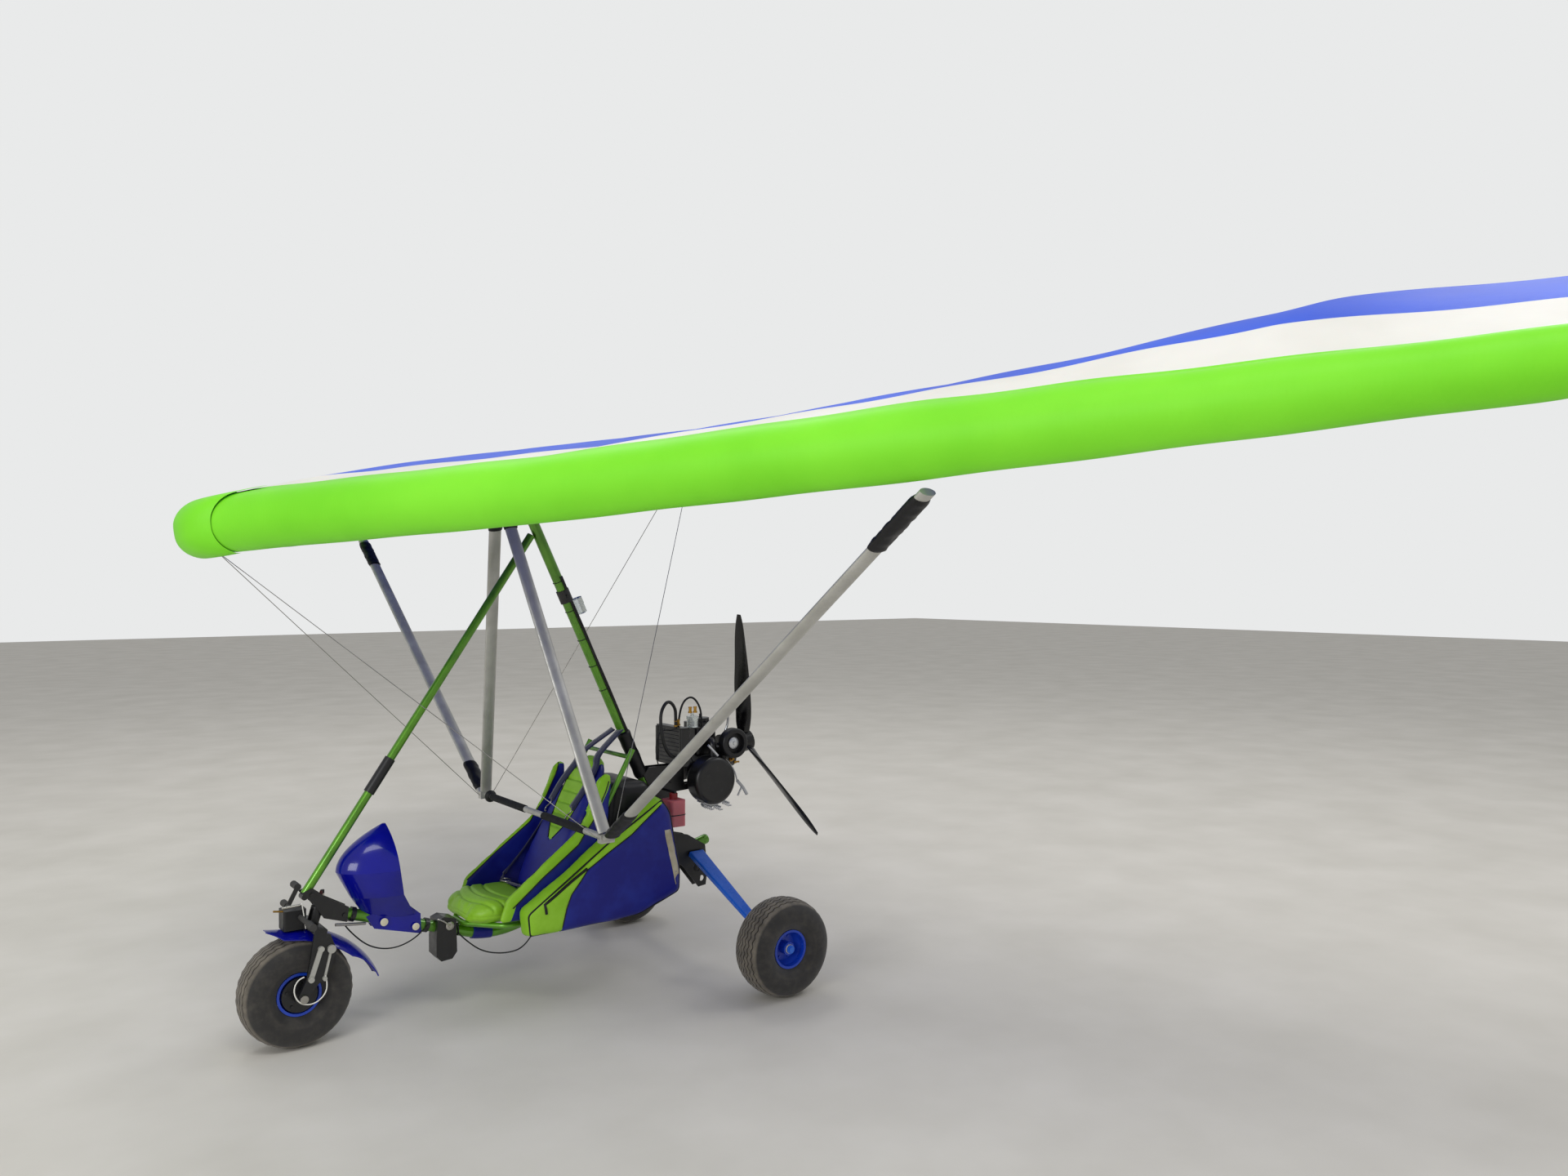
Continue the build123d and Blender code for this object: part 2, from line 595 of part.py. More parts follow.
# Main legs: a tapered blade each side, with the wheel's axle at its end
with BuildPart() as main_legs:
    for sign in (-1, 1):
        root = at(*LEG_ROOT, sign * (KEEL_RADIUS + 14))
        end = at(-WHEELBASE, TYRE_RADIUS, sign * (TRACK / 2 - MAIN_HUB_HALF - 32))
        along = (end - root).normalized()
        chord_way = (Vector(1, 0, 0) - along * along.X).normalized()
        with BuildSketch(Plane(origin=root, x_dir=chord_way, z_dir=along)):
            RectangleRounded(LEG_CHORDS[0], LEG_THICKNESS + 6, 8)
        with BuildSketch(Plane(origin=end + along * 14, x_dir=chord_way, z_dir=along)):
            RectangleRounded(LEG_CHORDS[1], LEG_THICKNESS, 8)
        loft()
        rod(end - Vector(0, sign * 6, 0), end + Vector(0, sign * 30, 0), AXLE_RADIUS + 8)
        rod(end, at(-WHEELBASE, TYRE_RADIUS, sign * (TRACK / 2 + MAIN_HUB_HALF + 22)), AXLE_RADIUS)
        nut = at(-WHEELBASE, TYRE_RADIUS, sign * (TRACK / 2 + MAIN_HUB_HALF + 2))
        rod(nut, nut + Vector(0, sign * 14, 0), AXLE_RADIUS + 7)
write(main_legs.part, "main_legs")

# Seat: tube frame, cushion, reclined back, side panels, and the bags that hang outside them
with BuildPart() as seat_frame:
    rail_rear, half = SEAT_RAIL[-1]
    top_ahead, top_rise = SEAT_RAIL_REACH
    port_rail = [at(ahead, SEAT_TUBE_HEIGHT, across) for ahead, across in SEAT_RAIL]
    port_rail.append(at(top_ahead, SEAT_TUBE_HEIGHT + top_rise, half))
    starboard_rail = [Vector(point.X, -point.Y, point.Z) for point in port_rail]
    with BuildLine() as rail:
        FilletPolyline(*reversed(port_rail), *starboard_rail, radius=55)
    with BuildSketch(Plane(origin=port_rail[-1], z_dir=port_rail[-2] - port_rail[-1])):
        Circle(SEAT_TUBE_RADIUS)
    sweep(path=rail.line)
    for ahead in SEAT_CROSS_TUBES:
        up = SEAT_TUBE_HEIGHT + top_rise * max(0, rail_rear - ahead) / (rail_rear - top_ahead)
        rod(at(ahead, up, -half), at(ahead, up, half), SEAT_TUBE_RADIUS - 2)
    for ahead in SEAT_POSTS:
        post = SEAT_TUBE_RADIUS - 3
        rod(at(ahead, SEAT_TUBE_HEIGHT), at(ahead, keel_top(ahead, post)), post)
write(seat_frame.part, "seat_frame")

cushion_half = SEAT_HALF_WIDTH - 8
cushion_base = SEAT_TUBE_HEIGHT + SEAT_TUBE_RADIUS + SOFT_GAP
with BuildPart() as seat_cushion:
    side_plate([(ahead, cushion_base + rise) for ahead, rise in CUSHION], -cushion_half, 2 * cushion_half)
    cushion_rear, cushion_front = CUSHION[-1][0], CUSHION[1][0]
    with BuildSketch(Plane.XY):
        with BuildLine():
            FilletPolyline(
                *[
                    (NOSE_AXLE_X + ahead, across)
                    for ahead, across in (
                        (cushion_rear, cushion_half), (cushion_front, cushion_half),
                        (cushion_front, -cushion_half), (cushion_rear, -cushion_half),
                    )
                ],
                radius=CUSHION_CORNER,
            )
            Line((NOSE_AXLE_X + cushion_rear, -cushion_half), (NOSE_AXLE_X + cushion_rear, cushion_half))
        make_face()
    extrude(amount=2 * cushion_base, mode=Mode.INTERSECT)
write(seat_cushion.part, "seat_cushion")

back_foot, back_top = (at(ahead, SEAT_TUBE_HEIGHT + rise) for ahead, rise in (SEAT_BACK_FOOT, SEAT_BACK_TOP))
back_way = (back_top - back_foot).normalized()
back_face = Vector(back_way.Z, 0, -back_way.X)
with BuildPart() as seat_back:
    with BuildSketch(Plane(origin=back_foot, x_dir=(0, 1, 0), z_dir=back_face)):
        with BuildLine():
            right = [(half, along) for along, half in SEAT_BACK_HALF]
            left = [(-across, along) for across, along in reversed(right)]
            Polyline(*left, *right)
            ThreePointArc(right[-1], (0, SEAT_BACK_LENGTH), left[0])
        make_face()
    extrude(amount=SEAT_BACK_THICKNESS)
write(seat_back.part, "seat_back")


def on_back(along, out):
    """An (ahead, up) point along the seat back, this far out from its padded face."""
    point = back_foot + back_way * along + back_face * (SEAT_BACK_THICKNESS + SOFT_GAP + out)
    return point.X - NOSE_AXLE_X, point.Z


with BuildPart() as harness:
    tie, tie_top = (on_mast(ahead) + Vector(1.14 * MAST_RADIUS, 0, 0) for ahead in HARNESS_TIE)
    tie, tie_top = ((point.X - NOSE_AXLE_X, point.Z) for point in (tie, tie_top))
    course = [tie, *[on_back(along, 0) for along in (SEAT_BACK_LENGTH + 14, HARNESS_START)]]
    course += [on_back(along, HARNESS_THICKNESS) for along in (HARNESS_START, SEAT_BACK_LENGTH + 18)]
    for middle in (-HARNESS_OFFSET, HARNESS_OFFSET):
        side_plate((*course, tie_top), middle - HARNESS_WIDTH / 2, HARNESS_WIDTH)
    side_plate(
        (tie, tie_top, (tie_top[0] + 8, tie_top[1]), (tie[0] + 8, tie[1])),
        -HARNESS_OFFSET - HARNESS_WIDTH / 2,
        2 * HARNESS_OFFSET + HARNESS_WIDTH,
    )
write(harness.part, "harness")

with BuildPart() as seat_sides:
    for inner in flanks(SEAT_HALF_WIDTH, SEAT_SIDE_THICKNESS):
        corners = [(ahead, SEAT_TUBE_HEIGHT + rise) for ahead, rise in SEAT_SIDE]
        side_plate(corners, inner, SEAT_SIDE_THICKNESS)
write(seat_sides.part, "seat_sides")

pod_inner = SEAT_HALF_WIDTH + SEAT_SIDE_THICKNESS + SOFT_GAP
with BuildPart() as side_pods:
    for sign in (-1, 1):
        inner_face = Plane(origin=(0, sign * pod_inner, 0), x_dir=(sign, 0, 0), z_dir=(0, sign, 0))
        with BuildSketch(inner_face) as outline:
            with BuildLine():
                Polyline(*[(sign * (NOSE_AXLE_X + ahead), -up) for ahead, up in POD], close=True)
            make_face()
        extrude(amount=POD_DEPTH, taper=POD_TAPER)
write(side_pods.part, "side_pods")

with BuildPart() as fuel_tank:
    front, rear = ((ahead, keel_top(ahead)) for ahead in TANK_ENDS)
    side_plate((front, *TANK, rear), -TANK_HALF_WIDTH, 2 * TANK_HALF_WIDTH)
write(fuel_tank.part, "fuel_tank")

# Front fairing: a small pointed shell, open to the rear, on two plates that clasp the keel
def fairing_solid(sections, shrink):
    """A loft of half ellipses at rising heights, made thinner all round by shrink."""
    profiles = []
    for up, nose, rear, half_width in sections:
        half = half_width - shrink
        with BuildSketch(Plane.XY.offset(up - shrink)) as profile:
            with BuildLine():
                EllipticalCenterArc((NOSE_AXLE_X + rear, 0), nose - rear - shrink, half, -90, arc_size=180)
                back = NOSE_AXLE_X + rear - 4 * shrink
                if shrink:
                    edge = NOSE_AXLE_X + rear
                    Polyline((edge, half), (back, half), (back, -half), (edge, -half))
                else:
                    Line((back, half), (back, -half))
            make_face()
        profiles.append(profile.sketch)
    return profiles


with BuildPart() as fairing:
    for sections in (FAIRING_LOW, FAIRING_HIGH):
        loft(fairing_solid(sections, 0), ruled=sections is FAIRING_LOW)
    for sections in (FAIRING_LOW, FAIRING_HIGH):
        loft(fairing_solid(sections, FAIRING_WALL), ruled=sections is FAIRING_LOW, mode=Mode.SUBTRACT)
    for inner in flanks(KEEL_RADIUS + RUNNING_GAP, FAIRING_WALL):
        side_plate(FAIRING_PLATE, inner, FAIRING_WALL)
    for inner in flanks(KEEL_RADIUS + FAIRING_WALL, 3):
        for ahead, up in ((-362, 462), (-502, 418)):
            disc((ahead, up), inner, 14, 3)
    rod(at(*KEEL_ROUTE[0]), at(*KEEL_ROUTE[1]), KEEL_RADIUS + RUNNING_GAP, Mode.SUBTRACT)
write(fairing.part, "fairing")

with BuildPart() as keel_box:
    side_plate(KEEL_BOX, -KEEL_BOX_HALF_WIDTH, 2 * KEEL_BOX_HALF_WIDTH)
    rod(at(*KEEL_ROUTE[0]), at(*KEEL_ROUTE[1]), KEEL_RADIUS + RUNNING_GAP, Mode.SUBTRACT)
write(keel_box.part, "keel_box")

# Engine on its mount behind the mast, with its drive, muffler, intake, cooling and propeller
crank_across, crank_up = CRANK
tilt = radians(PROP_TILT)
thrust_aft = Vector(-cos(tilt), 0, sin(tilt))
crank_middle = at(CRANK_MIDDLE, crank_up, crank_across)
crank_front, crank_rear = (crank_middle + thrust_aft * distance for distance in CRANKCASE_SPAN)
barrel_foot = at(BARREL_AHEAD, crank_up + CRANKCASE_RADIUS * 0.7, crank_across)
barrel_top = barrel_foot + Vector(0, 0, BARREL[2])
with BuildPart() as engine_block:
    rod(crank_front, crank_rear, CRANKCASE_RADIUS)
    flywheel_front, flywheel_rear = (crank_middle + thrust_aft * distance for distance in FLYWHEEL)
    rod(flywheel_front, flywheel_rear, CRANKCASE_RADIUS + 4)
    with BuildSketch(Plane(origin=barrel_foot)):
        RectangleRounded(*BARREL[:2], 18)
    extrude(amount=BARREL[2])
    disc(CARBURETTOR, crank_across, CARBURETTOR_RADIUS, 50 - crank_across)
    with BuildSketch(Plane(origin=barrel_top)):
        RectangleRounded(*HEAD_SIZE[:2], 22)
    extrude(amount=HEAD_SIZE[2] * 0.6)
    head_face = barrel_top + Vector(0, 0, HEAD_SIZE[2] * 0.6)
    with BuildSketch(Plane(origin=head_face)):
        Circle(HEAD_SIZE[1] * 0.34)
    extrude(amount=HEAD_SIZE[2] * 0.4)
    with BuildSketch(Plane(origin=head_face)):
        with PolarLocations(HEAD_SIZE[1] * 0.42, HEAD_BOLTS, start_angle=30):
            RegularPolygon(6, 6)
    extrude(amount=9)
    rod(head_face, head_face + Vector(0, 0, HEAD_SIZE[2] * 0.4 + 20), 8)
write(engine_block.part, "engine_block")

prop_hub = at(*PROP_HUB)
low = crank_rear + thrust_aft * SOFT_GAP
high = prop_hub + thrust_aft * (low - prop_hub).dot(thrust_aft)
lean = high - low
drive_rear = high + thrust_aft * DRIVE_DEPTH
with BuildPart() as gearbox:
    with BuildSketch(Plane(origin=(low + high) * 0.5, x_dir=lean, z_dir=thrust_aft)):
        SlotCenterToCenter(lean.length, 2 * DRIVE_RADIUS)
    extrude(amount=DRIVE_DEPTH)
    rod(drive_rear - thrust_aft, drive_rear + thrust_aft * 14, 2 * PROP_SHAFT_RADIUS)
    rod(drive_rear, prop_hub - thrust_aft * (PROP_HUB_HALF + RUNNING_GAP), PROP_SHAFT_RADIUS)
write(gearbox.part, "gearbox")

barrel_side = crank_across + BARREL[1] / 2 + SOFT_GAP
pipe_across = sum(MUFFLER_SPAN) / 2 - 20
with BuildPart() as muffler:
    disc(MUFFLER, MUFFLER_SPAN[0], MUFFLER_RADIUS, MUFFLER_SPAN[1] - MUFFLER_SPAN[0])
    fillet(muffler.edges().filter_by(GeomType.CIRCLE), 24)
    with BuildLine() as pipe:
        FilletPolyline(
            at(BARREL_AHEAD, MUFFLER[1] + 196, barrel_side),
            at(BARREL_AHEAD, MUFFLER[1] + 196, pipe_across),
            at(BARREL_AHEAD, MUFFLER[1] + 100, pipe_across),
            radius=30,
        )
    with BuildSketch(Plane(origin=at(BARREL_AHEAD, MUFFLER[1] + 196, barrel_side), z_dir=(0, 1, 0))):
        Circle(20)
    sweep(path=pipe.line)
write(muffler.part, "muffler")

with BuildPart() as air_filter:
    filter_depth = FILTER_SPAN[1] - FILTER_SPAN[0]
    disc(FILTER, FILTER_SPAN[0], FILTER_RADIUS, filter_depth)
    fillet(air_filter.edges().filter_by(GeomType.CIRCLE), 11)
    disc(FILTER, FILTER_SPAN[0] + filter_depth / 2, FILTER_RADIUS - FILTER_WALL, filter_depth, Mode.SUBTRACT)
write(air_filter.part, "air_filter")

with BuildPart() as carburettor:
    disc(CARBURETTOR, 50 + SOFT_GAP, CARBURETTOR_RADIUS + 3, FILTER_SPAN[0] - 50 - 2 * SOFT_GAP)
    rod(at(*CARBURETTOR, 74), at(CARBURETTOR[0], CARBURETTOR[1] - 42, 74), 16)
    rod(at(*CARBURETTOR, 74), at(CARBURETTOR[0], CARBURETTOR[1] + 42, 74), 12)
write(carburettor.part, "carburettor")

core_front, core_foot = RADIATOR
with BuildPart() as radiator:
    with BuildSketch(Plane(origin=at(core_front - RADIATOR_SIZE[0] / 2, core_foot))):
        RectangleRounded(*RADIATOR_SIZE[:2], 8)
    extrude(amount=RADIATOR_SIZE[2])
    for inner in flanks(RADIATOR_SIZE[1] / 2 - RADIATOR_TANK, RADIATOR_TANK + 4):
        tank_foot = at(core_front - RADIATOR_SIZE[0] / 2, core_foot + 8, inner + RADIATOR_TANK / 2 + 2)
        with BuildSketch(Plane(origin=tank_foot)):
            RectangleRounded(RADIATOR_SIZE[0] + 10, RADIATOR_TANK + 4, 10)
        extrude(amount=RADIATOR_SIZE[2] - 16)
    shelf_top = core_foot + RADIATOR_SIZE[2] - 2
    shelf_middle = at(core_front - RADIATOR_SIZE[0] + 2 - SHELF[0] / 2, shelf_top, BOWL[1])
    with BuildSketch(Plane(origin=shelf_middle)):
        Rectangle(*SHELF[:2])
    extrude(amount=-SHELF[2])
write(radiator.part, "radiator")

bowl_foot = at(BOWL[0], shelf_top + SOFT_GAP, BOWL[1])
bowl_up = Vector(0, 0, BOWL_HEIGHT)
with BuildPart() as fuel_bowl:
    rod(bowl_foot, bowl_foot + bowl_up * 0.62, BOWL_RADIUS)
    rod(bowl_foot + bowl_up * 0.6, bowl_foot + bowl_up * 0.8, BOWL_RADIUS + 3)
    rod(bowl_foot + bowl_up * 0.78, bowl_foot + bowl_up, 9)
write(fuel_bowl.part, "fuel_bowl")

arm_up = BOTTLE[1] + BOTTLE_SIZE[2] + BOTTLE_CAP[1] + 6 + SOFT_GAP
with BuildPart() as engine_mount:
    for inner in flanks(MAST_RADIUS, MOUNT_THICKNESS):
        side_plate(MOUNT_PLATE, inner, MOUNT_THICKNESS)
    rod(at(BOTTLE[0], arm_up, MAST_RADIUS + 4), at(BOTTLE[0], arm_up, BOTTLE[2] + BOTTLE_CAP[0]), 6)
write(engine_mount.part, "engine_mount")

with BuildPart() as coolant_bottle:
    bottle_top = at(BOTTLE[0], BOTTLE[1] + BOTTLE_SIZE[2], BOTTLE[2])
    with BuildSketch(Plane(origin=at(*BOTTLE))):
        RectangleRounded(*BOTTLE_SIZE[:2], 18)
    extrude(amount=BOTTLE_SIZE[2])
    rod(bottle_top - Vector(0, 0, 1), bottle_top + Vector(0, 0, BOTTLE_CAP[1]), BOTTLE_CAP[0])
write(coolant_bottle.part, "coolant_bottle")

disc_up = Vector(sin(tilt), 0, cos(tilt))
with BuildPart() as propeller:
    rod(prop_hub - thrust_aft * PROP_HUB_HALF, prop_hub + thrust_aft * PROP_HUB_HALF, PROP_HUB_RADIUS)
    for blade in range(PROP_BLADES):
        angle = radians(PROP_FIRST_BLADE + 360 / PROP_BLADES * blade)
        out = Vector(0, cos(angle), 0) + disc_up * sin(angle)
        flat = disc_up * cos(angle) - Vector(0, sin(angle), 0)
        for distance, chord, thickness, twist in BLADE_SECTIONS:
            turned = flat * cos(radians(twist)) - thrust_aft * sin(radians(twist))
            with BuildSketch(Plane(origin=prop_hub + out * distance, x_dir=turned, z_dir=out)):
                Ellipse(chord / 2, thickness / 2)
        loft()
    rear_face = prop_hub + thrust_aft * PROP_HUB_HALF
    with BuildSketch(Plane(origin=rear_face, x_dir=(0, 1, 0), z_dir=thrust_aft)):
        with PolarLocations(PROP_BOLT_CIRCLE / 2, PROP_BOLTS):
            Circle(PROP_BOLT_RADIUS)
    extrude(amount=-2 * PROP_HUB_HALF, mode=Mode.SUBTRACT)
write(propeller.part, "propeller")

# Hang block: rides on the wing's keel and hinges on the mast's bolt
wing_lean = radians(WING_PITCH)
wing_aft_way = Vector(-cos(wing_lean), 0, sin(wing_lean))
wing_up_way = Vector(sin(wing_lean), 0, cos(wing_lean))
hang_arm = hang_point - on_wing(0, 0)
hang_aft, hang_up = hang_arm.dot(wing_aft_way), hang_arm.dot(wing_up_way)
with BuildPart() as hang_block:
    rod(on_wing(hang_aft - 40, 0), on_wing(hang_aft + 40, 0), WING_KEEL_RADIUS + 9)
    tongue_face = hang_point - Vector(0, TONGUE_WIDTH / 2, 0)
    with BuildSketch(Plane(origin=tongue_face, x_dir=wing_aft_way, z_dir=(0, 1, 0))):
        with Locations((0, -hang_up / 2)):
            Rectangle(32, -hang_up)
        Circle(16)
    extrude(amount=TONGUE_WIDTH)
    rod(on_wing(hang_aft - 41, 0), on_wing(hang_aft + 41, 0), WING_KEEL_RADIUS + RUNNING_GAP, Mode.SUBTRACT)
    bolt_reach = Vector(0, TONGUE_WIDTH, 0)
    rod(hang_point - bolt_reach, hang_point + bolt_reach, HANG_BOLT_RADIUS + RUNNING_GAP, Mode.SUBTRACT)
write(hang_block.part, "hang_block")

# Wing: one lofted half is cut into the coloured panels, then mirrored
def wing_section(across, lead, chord, low_front, high_front, belly, crest, trail):
    """One closed wing profile in a plane parallel to the centre plane."""
    tail = lead + chord
    nose_size = min(100, chord * 0.25)
    with BuildSketch(Plane(origin=on_wing(0, 0, across), x_dir=wing_aft_way, z_dir=(0, 1, 0))) as profile:
        with BuildLine():
            low = (lead + nose_size * 0.8, low_front)
            high = (lead + nose_size * 1.15, high_front)
            ThreePointArc(low, (lead, (low_front + high_front) / 2), high)
            ThreePointArc(high, (lead + chord * 0.42, crest), (tail, trail + 4))
            Line((tail, trail + 4), (tail, trail - 4))
            ThreePointArc((tail, trail - 4), (lead + chord * 0.5, belly), low)
        make_face()
    return profile.sketch


with BuildPart() as half_wing:
    loft([wing_section(*station) for station in WING_STATIONS], ruled=True)
    with BuildSketch(Plane(origin=on_wing(0, SLOT_TOP, 0), x_dir=wing_aft_way, z_dir=wing_up_way)):
        with Locations((SLOT_START, 0)):
            Rectangle(WING_STATIONS[0][2], 2 * SLOT_HALF_WIDTH, align=(Align.MIN, Align.CENTER))
    extrude(amount=-2 * SLOT_START, mode=Mode.SUBTRACT)

sweep_slope = (WING_STATIONS[3][1] - WING_STATIONS[1][1]) / (WING_STATIONS[3][0] - WING_STATIONS[1][0])
lead_zero = WING_STATIONS[1][1] - sweep_slope * WING_STATIONS[1][0]


def panel_border(behind):
    """A plane this far behind the leading edge, closing on it outboard and raked forward to the underside."""
    _, _, _, low, high, _, _, _ = WING_STATIONS[0]
    reach = WING_STATIONS[-1][0]
    root = on_wing(lead_zero + behind, high, 0)
    outboard = on_wing(lead_zero + behind + (sweep_slope - BAND_TAPER) * reach, high, reach)
    below = on_wing(lead_zero + behind - BAND_RAKE, 2 * low, 0)
    return Plane(origin=root, x_dir=outboard - root, z_dir=(below - root).cross(outboard - root))


def both_halves(half):
    """The port piece with its mirror image, as one part."""
    with BuildPart() as pair:
        add(half)
        mirror(about=Plane.XZ)
    return pair.part


front_border = panel_border(BAND_FRONT)
rear_border = panel_border(BAND_FRONT + BAND_DEPTH)
with BuildPart() as pocket_half:
    add(half_wing.part)
    split(bisect_by=front_border, keep=Keep.TOP)
with BuildPart() as band_half:
    add(half_wing.part)
    split(bisect_by=front_border, keep=Keep.BOTTOM)
    split(bisect_by=rear_border, keep=Keep.TOP)
with BuildPart() as panel_half:
    add(half_wing.part)
    split(bisect_by=rear_border, keep=Keep.BOTTOM)
cone_edge = Plane.XZ.offset(-CONE_HALF_WIDTH)
with BuildPart() as cone_half:
    add(pocket_half.part)
    split(bisect_by=cone_edge, keep=Keep.TOP)
with BuildPart() as outer_half:
    add(pocket_half.part)
    split(bisect_by=cone_edge, keep=Keep.BOTTOM)
for name, half in (
    ("nose_cone", cone_half),
    ("leading_edge_pocket", outer_half),
    ("white_band", band_half),
    ("sail_panel", panel_half),
):
    write(both_halves(half.part), name)

with BuildPart() as wing_keel:
    rod(on_wing(WING_KEEL_START, 0), on_wing(WING_KEEL_END, 0), WING_KEEL_RADIUS)
write(wing_keel.part, "wing_keel")

# Control frame: two faired downtubes, the base bar with its grips, the wing struts, boots and wires
apex = on_wing(*CONTROL_APEX)
downtube_ends = {}
strut_ends = {}
for sign in (-1, 1):
    corner = at(BAR_CORNER[0], BAR_CORNER[1], sign * BAR_CORNER[2])
    top = apex + Vector(0, sign * 18, -14)
    downtube_ends[sign] = (corner + (top - corner).normalized() * 26.5, top)
    strut_foot_point = corner + Vector(0, sign * 25.8, 6)
    strut_ends[sign] = (strut_foot_point, on_wing(*STRUT_TOP[:2], sign * STRUT_TOP[2]))

with BuildPart() as downtubes:
    for foot, top in downtube_ends.values():
        streamlined(foot, top, DOWNTUBE_CHORD, DOWNTUBE_THICKNESS)
write(downtubes.part, "downtubes")

block_inner = BAR_CORNER[2] - CORNER_BLOCK[1] / 2
bar_port = at(*BAR_CORNER[:2], block_inner)
bar_starboard = at(*BAR_CORNER[:2], -block_inner)
with BuildPart() as corner_blocks:
    for sign in (-1, 1):
        with BuildSketch(Plane(origin=at(*BAR_CORNER[:2], sign * BAR_CORNER[2]), z_dir=(0, 0, 1))):
            Rectangle(*CORNER_BLOCK[:2])
        extrude(amount=CORNER_BLOCK[2] / 2, both=True)
write(corner_blocks.part, "corner_blocks")

with BuildPart() as base_bar:
    rod(bar_starboard, bar_port, BAR_RADIUS)
write(base_bar.part, "base_bar")

with BuildPart() as bar_grips:
    for inner, outer, radius in BAR_SLEEVES:
        low, high = (at(*BAR_CORNER[:2], across) for across in (inner, outer))
        rod(low, high, radius)
        rod(low - Vector(0, 1, 0), high + Vector(0, 1, 0), BAR_RADIUS, Mode.SUBTRACT)
write(bar_grips.part, "bar_grips")

with BuildPart() as wing_struts:
    for foot, top in strut_ends.values():
        streamlined(foot, top, STRUT_CHORD, STRUT_THICKNESS)
write(wing_struts.part, "wing_struts")


def boot(ends, span, chord, thickness):
    """A fabric sleeve round a faired tube, its span measured from the foot, or back from the top."""
    foot, top = ends
    along = (top - foot).normalized()
    low, high = ((top if distance < 0 else foot) + along * distance for distance in span)
    streamlined(low, high, chord + 2 * BOOT_WALL, thickness + 2 * BOOT_WALL)
    bore = 2 * RUNNING_GAP
    streamlined(low - along, high + along, chord + bore, thickness + bore, Mode.SUBTRACT)


with BuildPart() as strut_boots:
    for sign in (-1, 1):
        for span in STRUT_BOOTS:
            boot(strut_ends[sign], span, STRUT_CHORD, STRUT_THICKNESS)
write(strut_boots.part, "strut_boots")

with BuildPart() as flying_wires:
    for sign in (-1, 1):
        corner = at(*BAR_CORNER[:2], sign * BAR_CORNER[2])
        reach = Vector(CORNER_BLOCK[0] / 2 + 1.6, 0, 0)
        rod(corner + reach, on_wing(95, -122, sign * 8), WIRE_RADIUS)
        rod(corner - reach, on_wing(WING_KEEL_END - 20, -8, sign * (WING_KEEL_RADIUS + 0.7)), WIRE_RADIUS)
write(flying_wires.part, "flying_wires")
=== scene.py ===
# %% [markdown]
# # A single-seat microlight trike
# A green and blue weight-shift trike on three fat tyres, under a strutted wing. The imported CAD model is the
# frame: every tube, plate and wheel is already at its real place and size. This lesson gives each of them
# its finish, and builds in mesh code what is sewn, hung, coiled or too fine for the CAD model.

# %% Load the frame
from math import atan2, cos, hypot, pi, radians, sin

import bmesh
import bpy
import numpy as np
from mathutils import Matrix, Vector, noise
from mathutils.bvhtree import BVHTree


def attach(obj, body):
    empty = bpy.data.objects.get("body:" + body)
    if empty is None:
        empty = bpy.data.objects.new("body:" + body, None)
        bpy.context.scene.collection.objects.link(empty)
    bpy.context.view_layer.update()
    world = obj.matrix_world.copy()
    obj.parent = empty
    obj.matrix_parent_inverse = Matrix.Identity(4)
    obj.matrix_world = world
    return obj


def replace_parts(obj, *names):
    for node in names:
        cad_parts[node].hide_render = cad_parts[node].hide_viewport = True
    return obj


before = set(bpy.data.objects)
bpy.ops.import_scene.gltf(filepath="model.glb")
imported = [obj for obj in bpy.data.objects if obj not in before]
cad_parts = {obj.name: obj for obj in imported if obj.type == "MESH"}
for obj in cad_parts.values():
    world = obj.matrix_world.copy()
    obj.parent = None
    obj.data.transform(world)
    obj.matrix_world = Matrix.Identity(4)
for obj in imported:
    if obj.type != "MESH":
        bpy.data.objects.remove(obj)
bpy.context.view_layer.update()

# %% [markdown]
# Every place on the machine is given as the builder gives it: so far ahead of the nose wheel's axle, so far
# above the ground, and so far to port. The wing has its own measure, aft of its nose along its keel, because
# it is built on a bench and only then hung at its angle.

# %% Places on the machine
NOSE_AXLE = 1.22
WING_NOSE = (0.397, 2.161)
WING_LEAN = radians(10.72)
SIDES = {"port": 1, "starboard": -1}
WASHER_FACE = 0.0385


def at(ahead, up, across=0.0):
    """A point ahead of the nose axle, above the ground and to port, in metres."""
    return Vector((NOSE_AXLE + ahead, across, up))


def on_wing(aft, up, across=0.0):
    """A point aft of the wing's nose along its keel, square above the keel, and to port."""
    ahead = WING_NOSE[0] - aft * cos(WING_LEAN) + up * sin(WING_LEAN)
    return at(ahead, WING_NOSE[1] + aft * sin(WING_LEAN) + up * cos(WING_LEAN), across)


print("wing nose at", [round(c, 3) for c in on_wing(0, 0)])

# %% [markdown]
# The camera comes first. It stands ahead and to port at a person's eye height, close enough for the wing to
# run out of the picture, so its place and lens were worked out from a dozen points of the machine at once.

# %% Camera
EYE = Vector((2.536, 5.189, 1.952))
YAW, PITCH, ROLL = radians(-126.88), radians(-0.34), radians(-0.04)
LENS_MM = 26.97

camera_data = bpy.data.cameras.new("camera")
camera_data.lens, camera_data.sensor_width = LENS_MM, 36.0
camera = bpy.data.objects.new("camera", camera_data)
bpy.context.scene.collection.objects.link(camera)
sight = Vector((cos(YAW) * cos(PITCH), sin(YAW) * cos(PITCH), sin(PITCH)))
facing = sight.to_track_quat("-Z", "Y").to_matrix().to_4x4()
camera.matrix_world = Matrix.Translation(EYE) @ facing @ Matrix.Rotation(ROLL, 4, "Z")
bpy.context.scene.camera = camera
print("camera looks along", [round(c, 3) for c in sight])

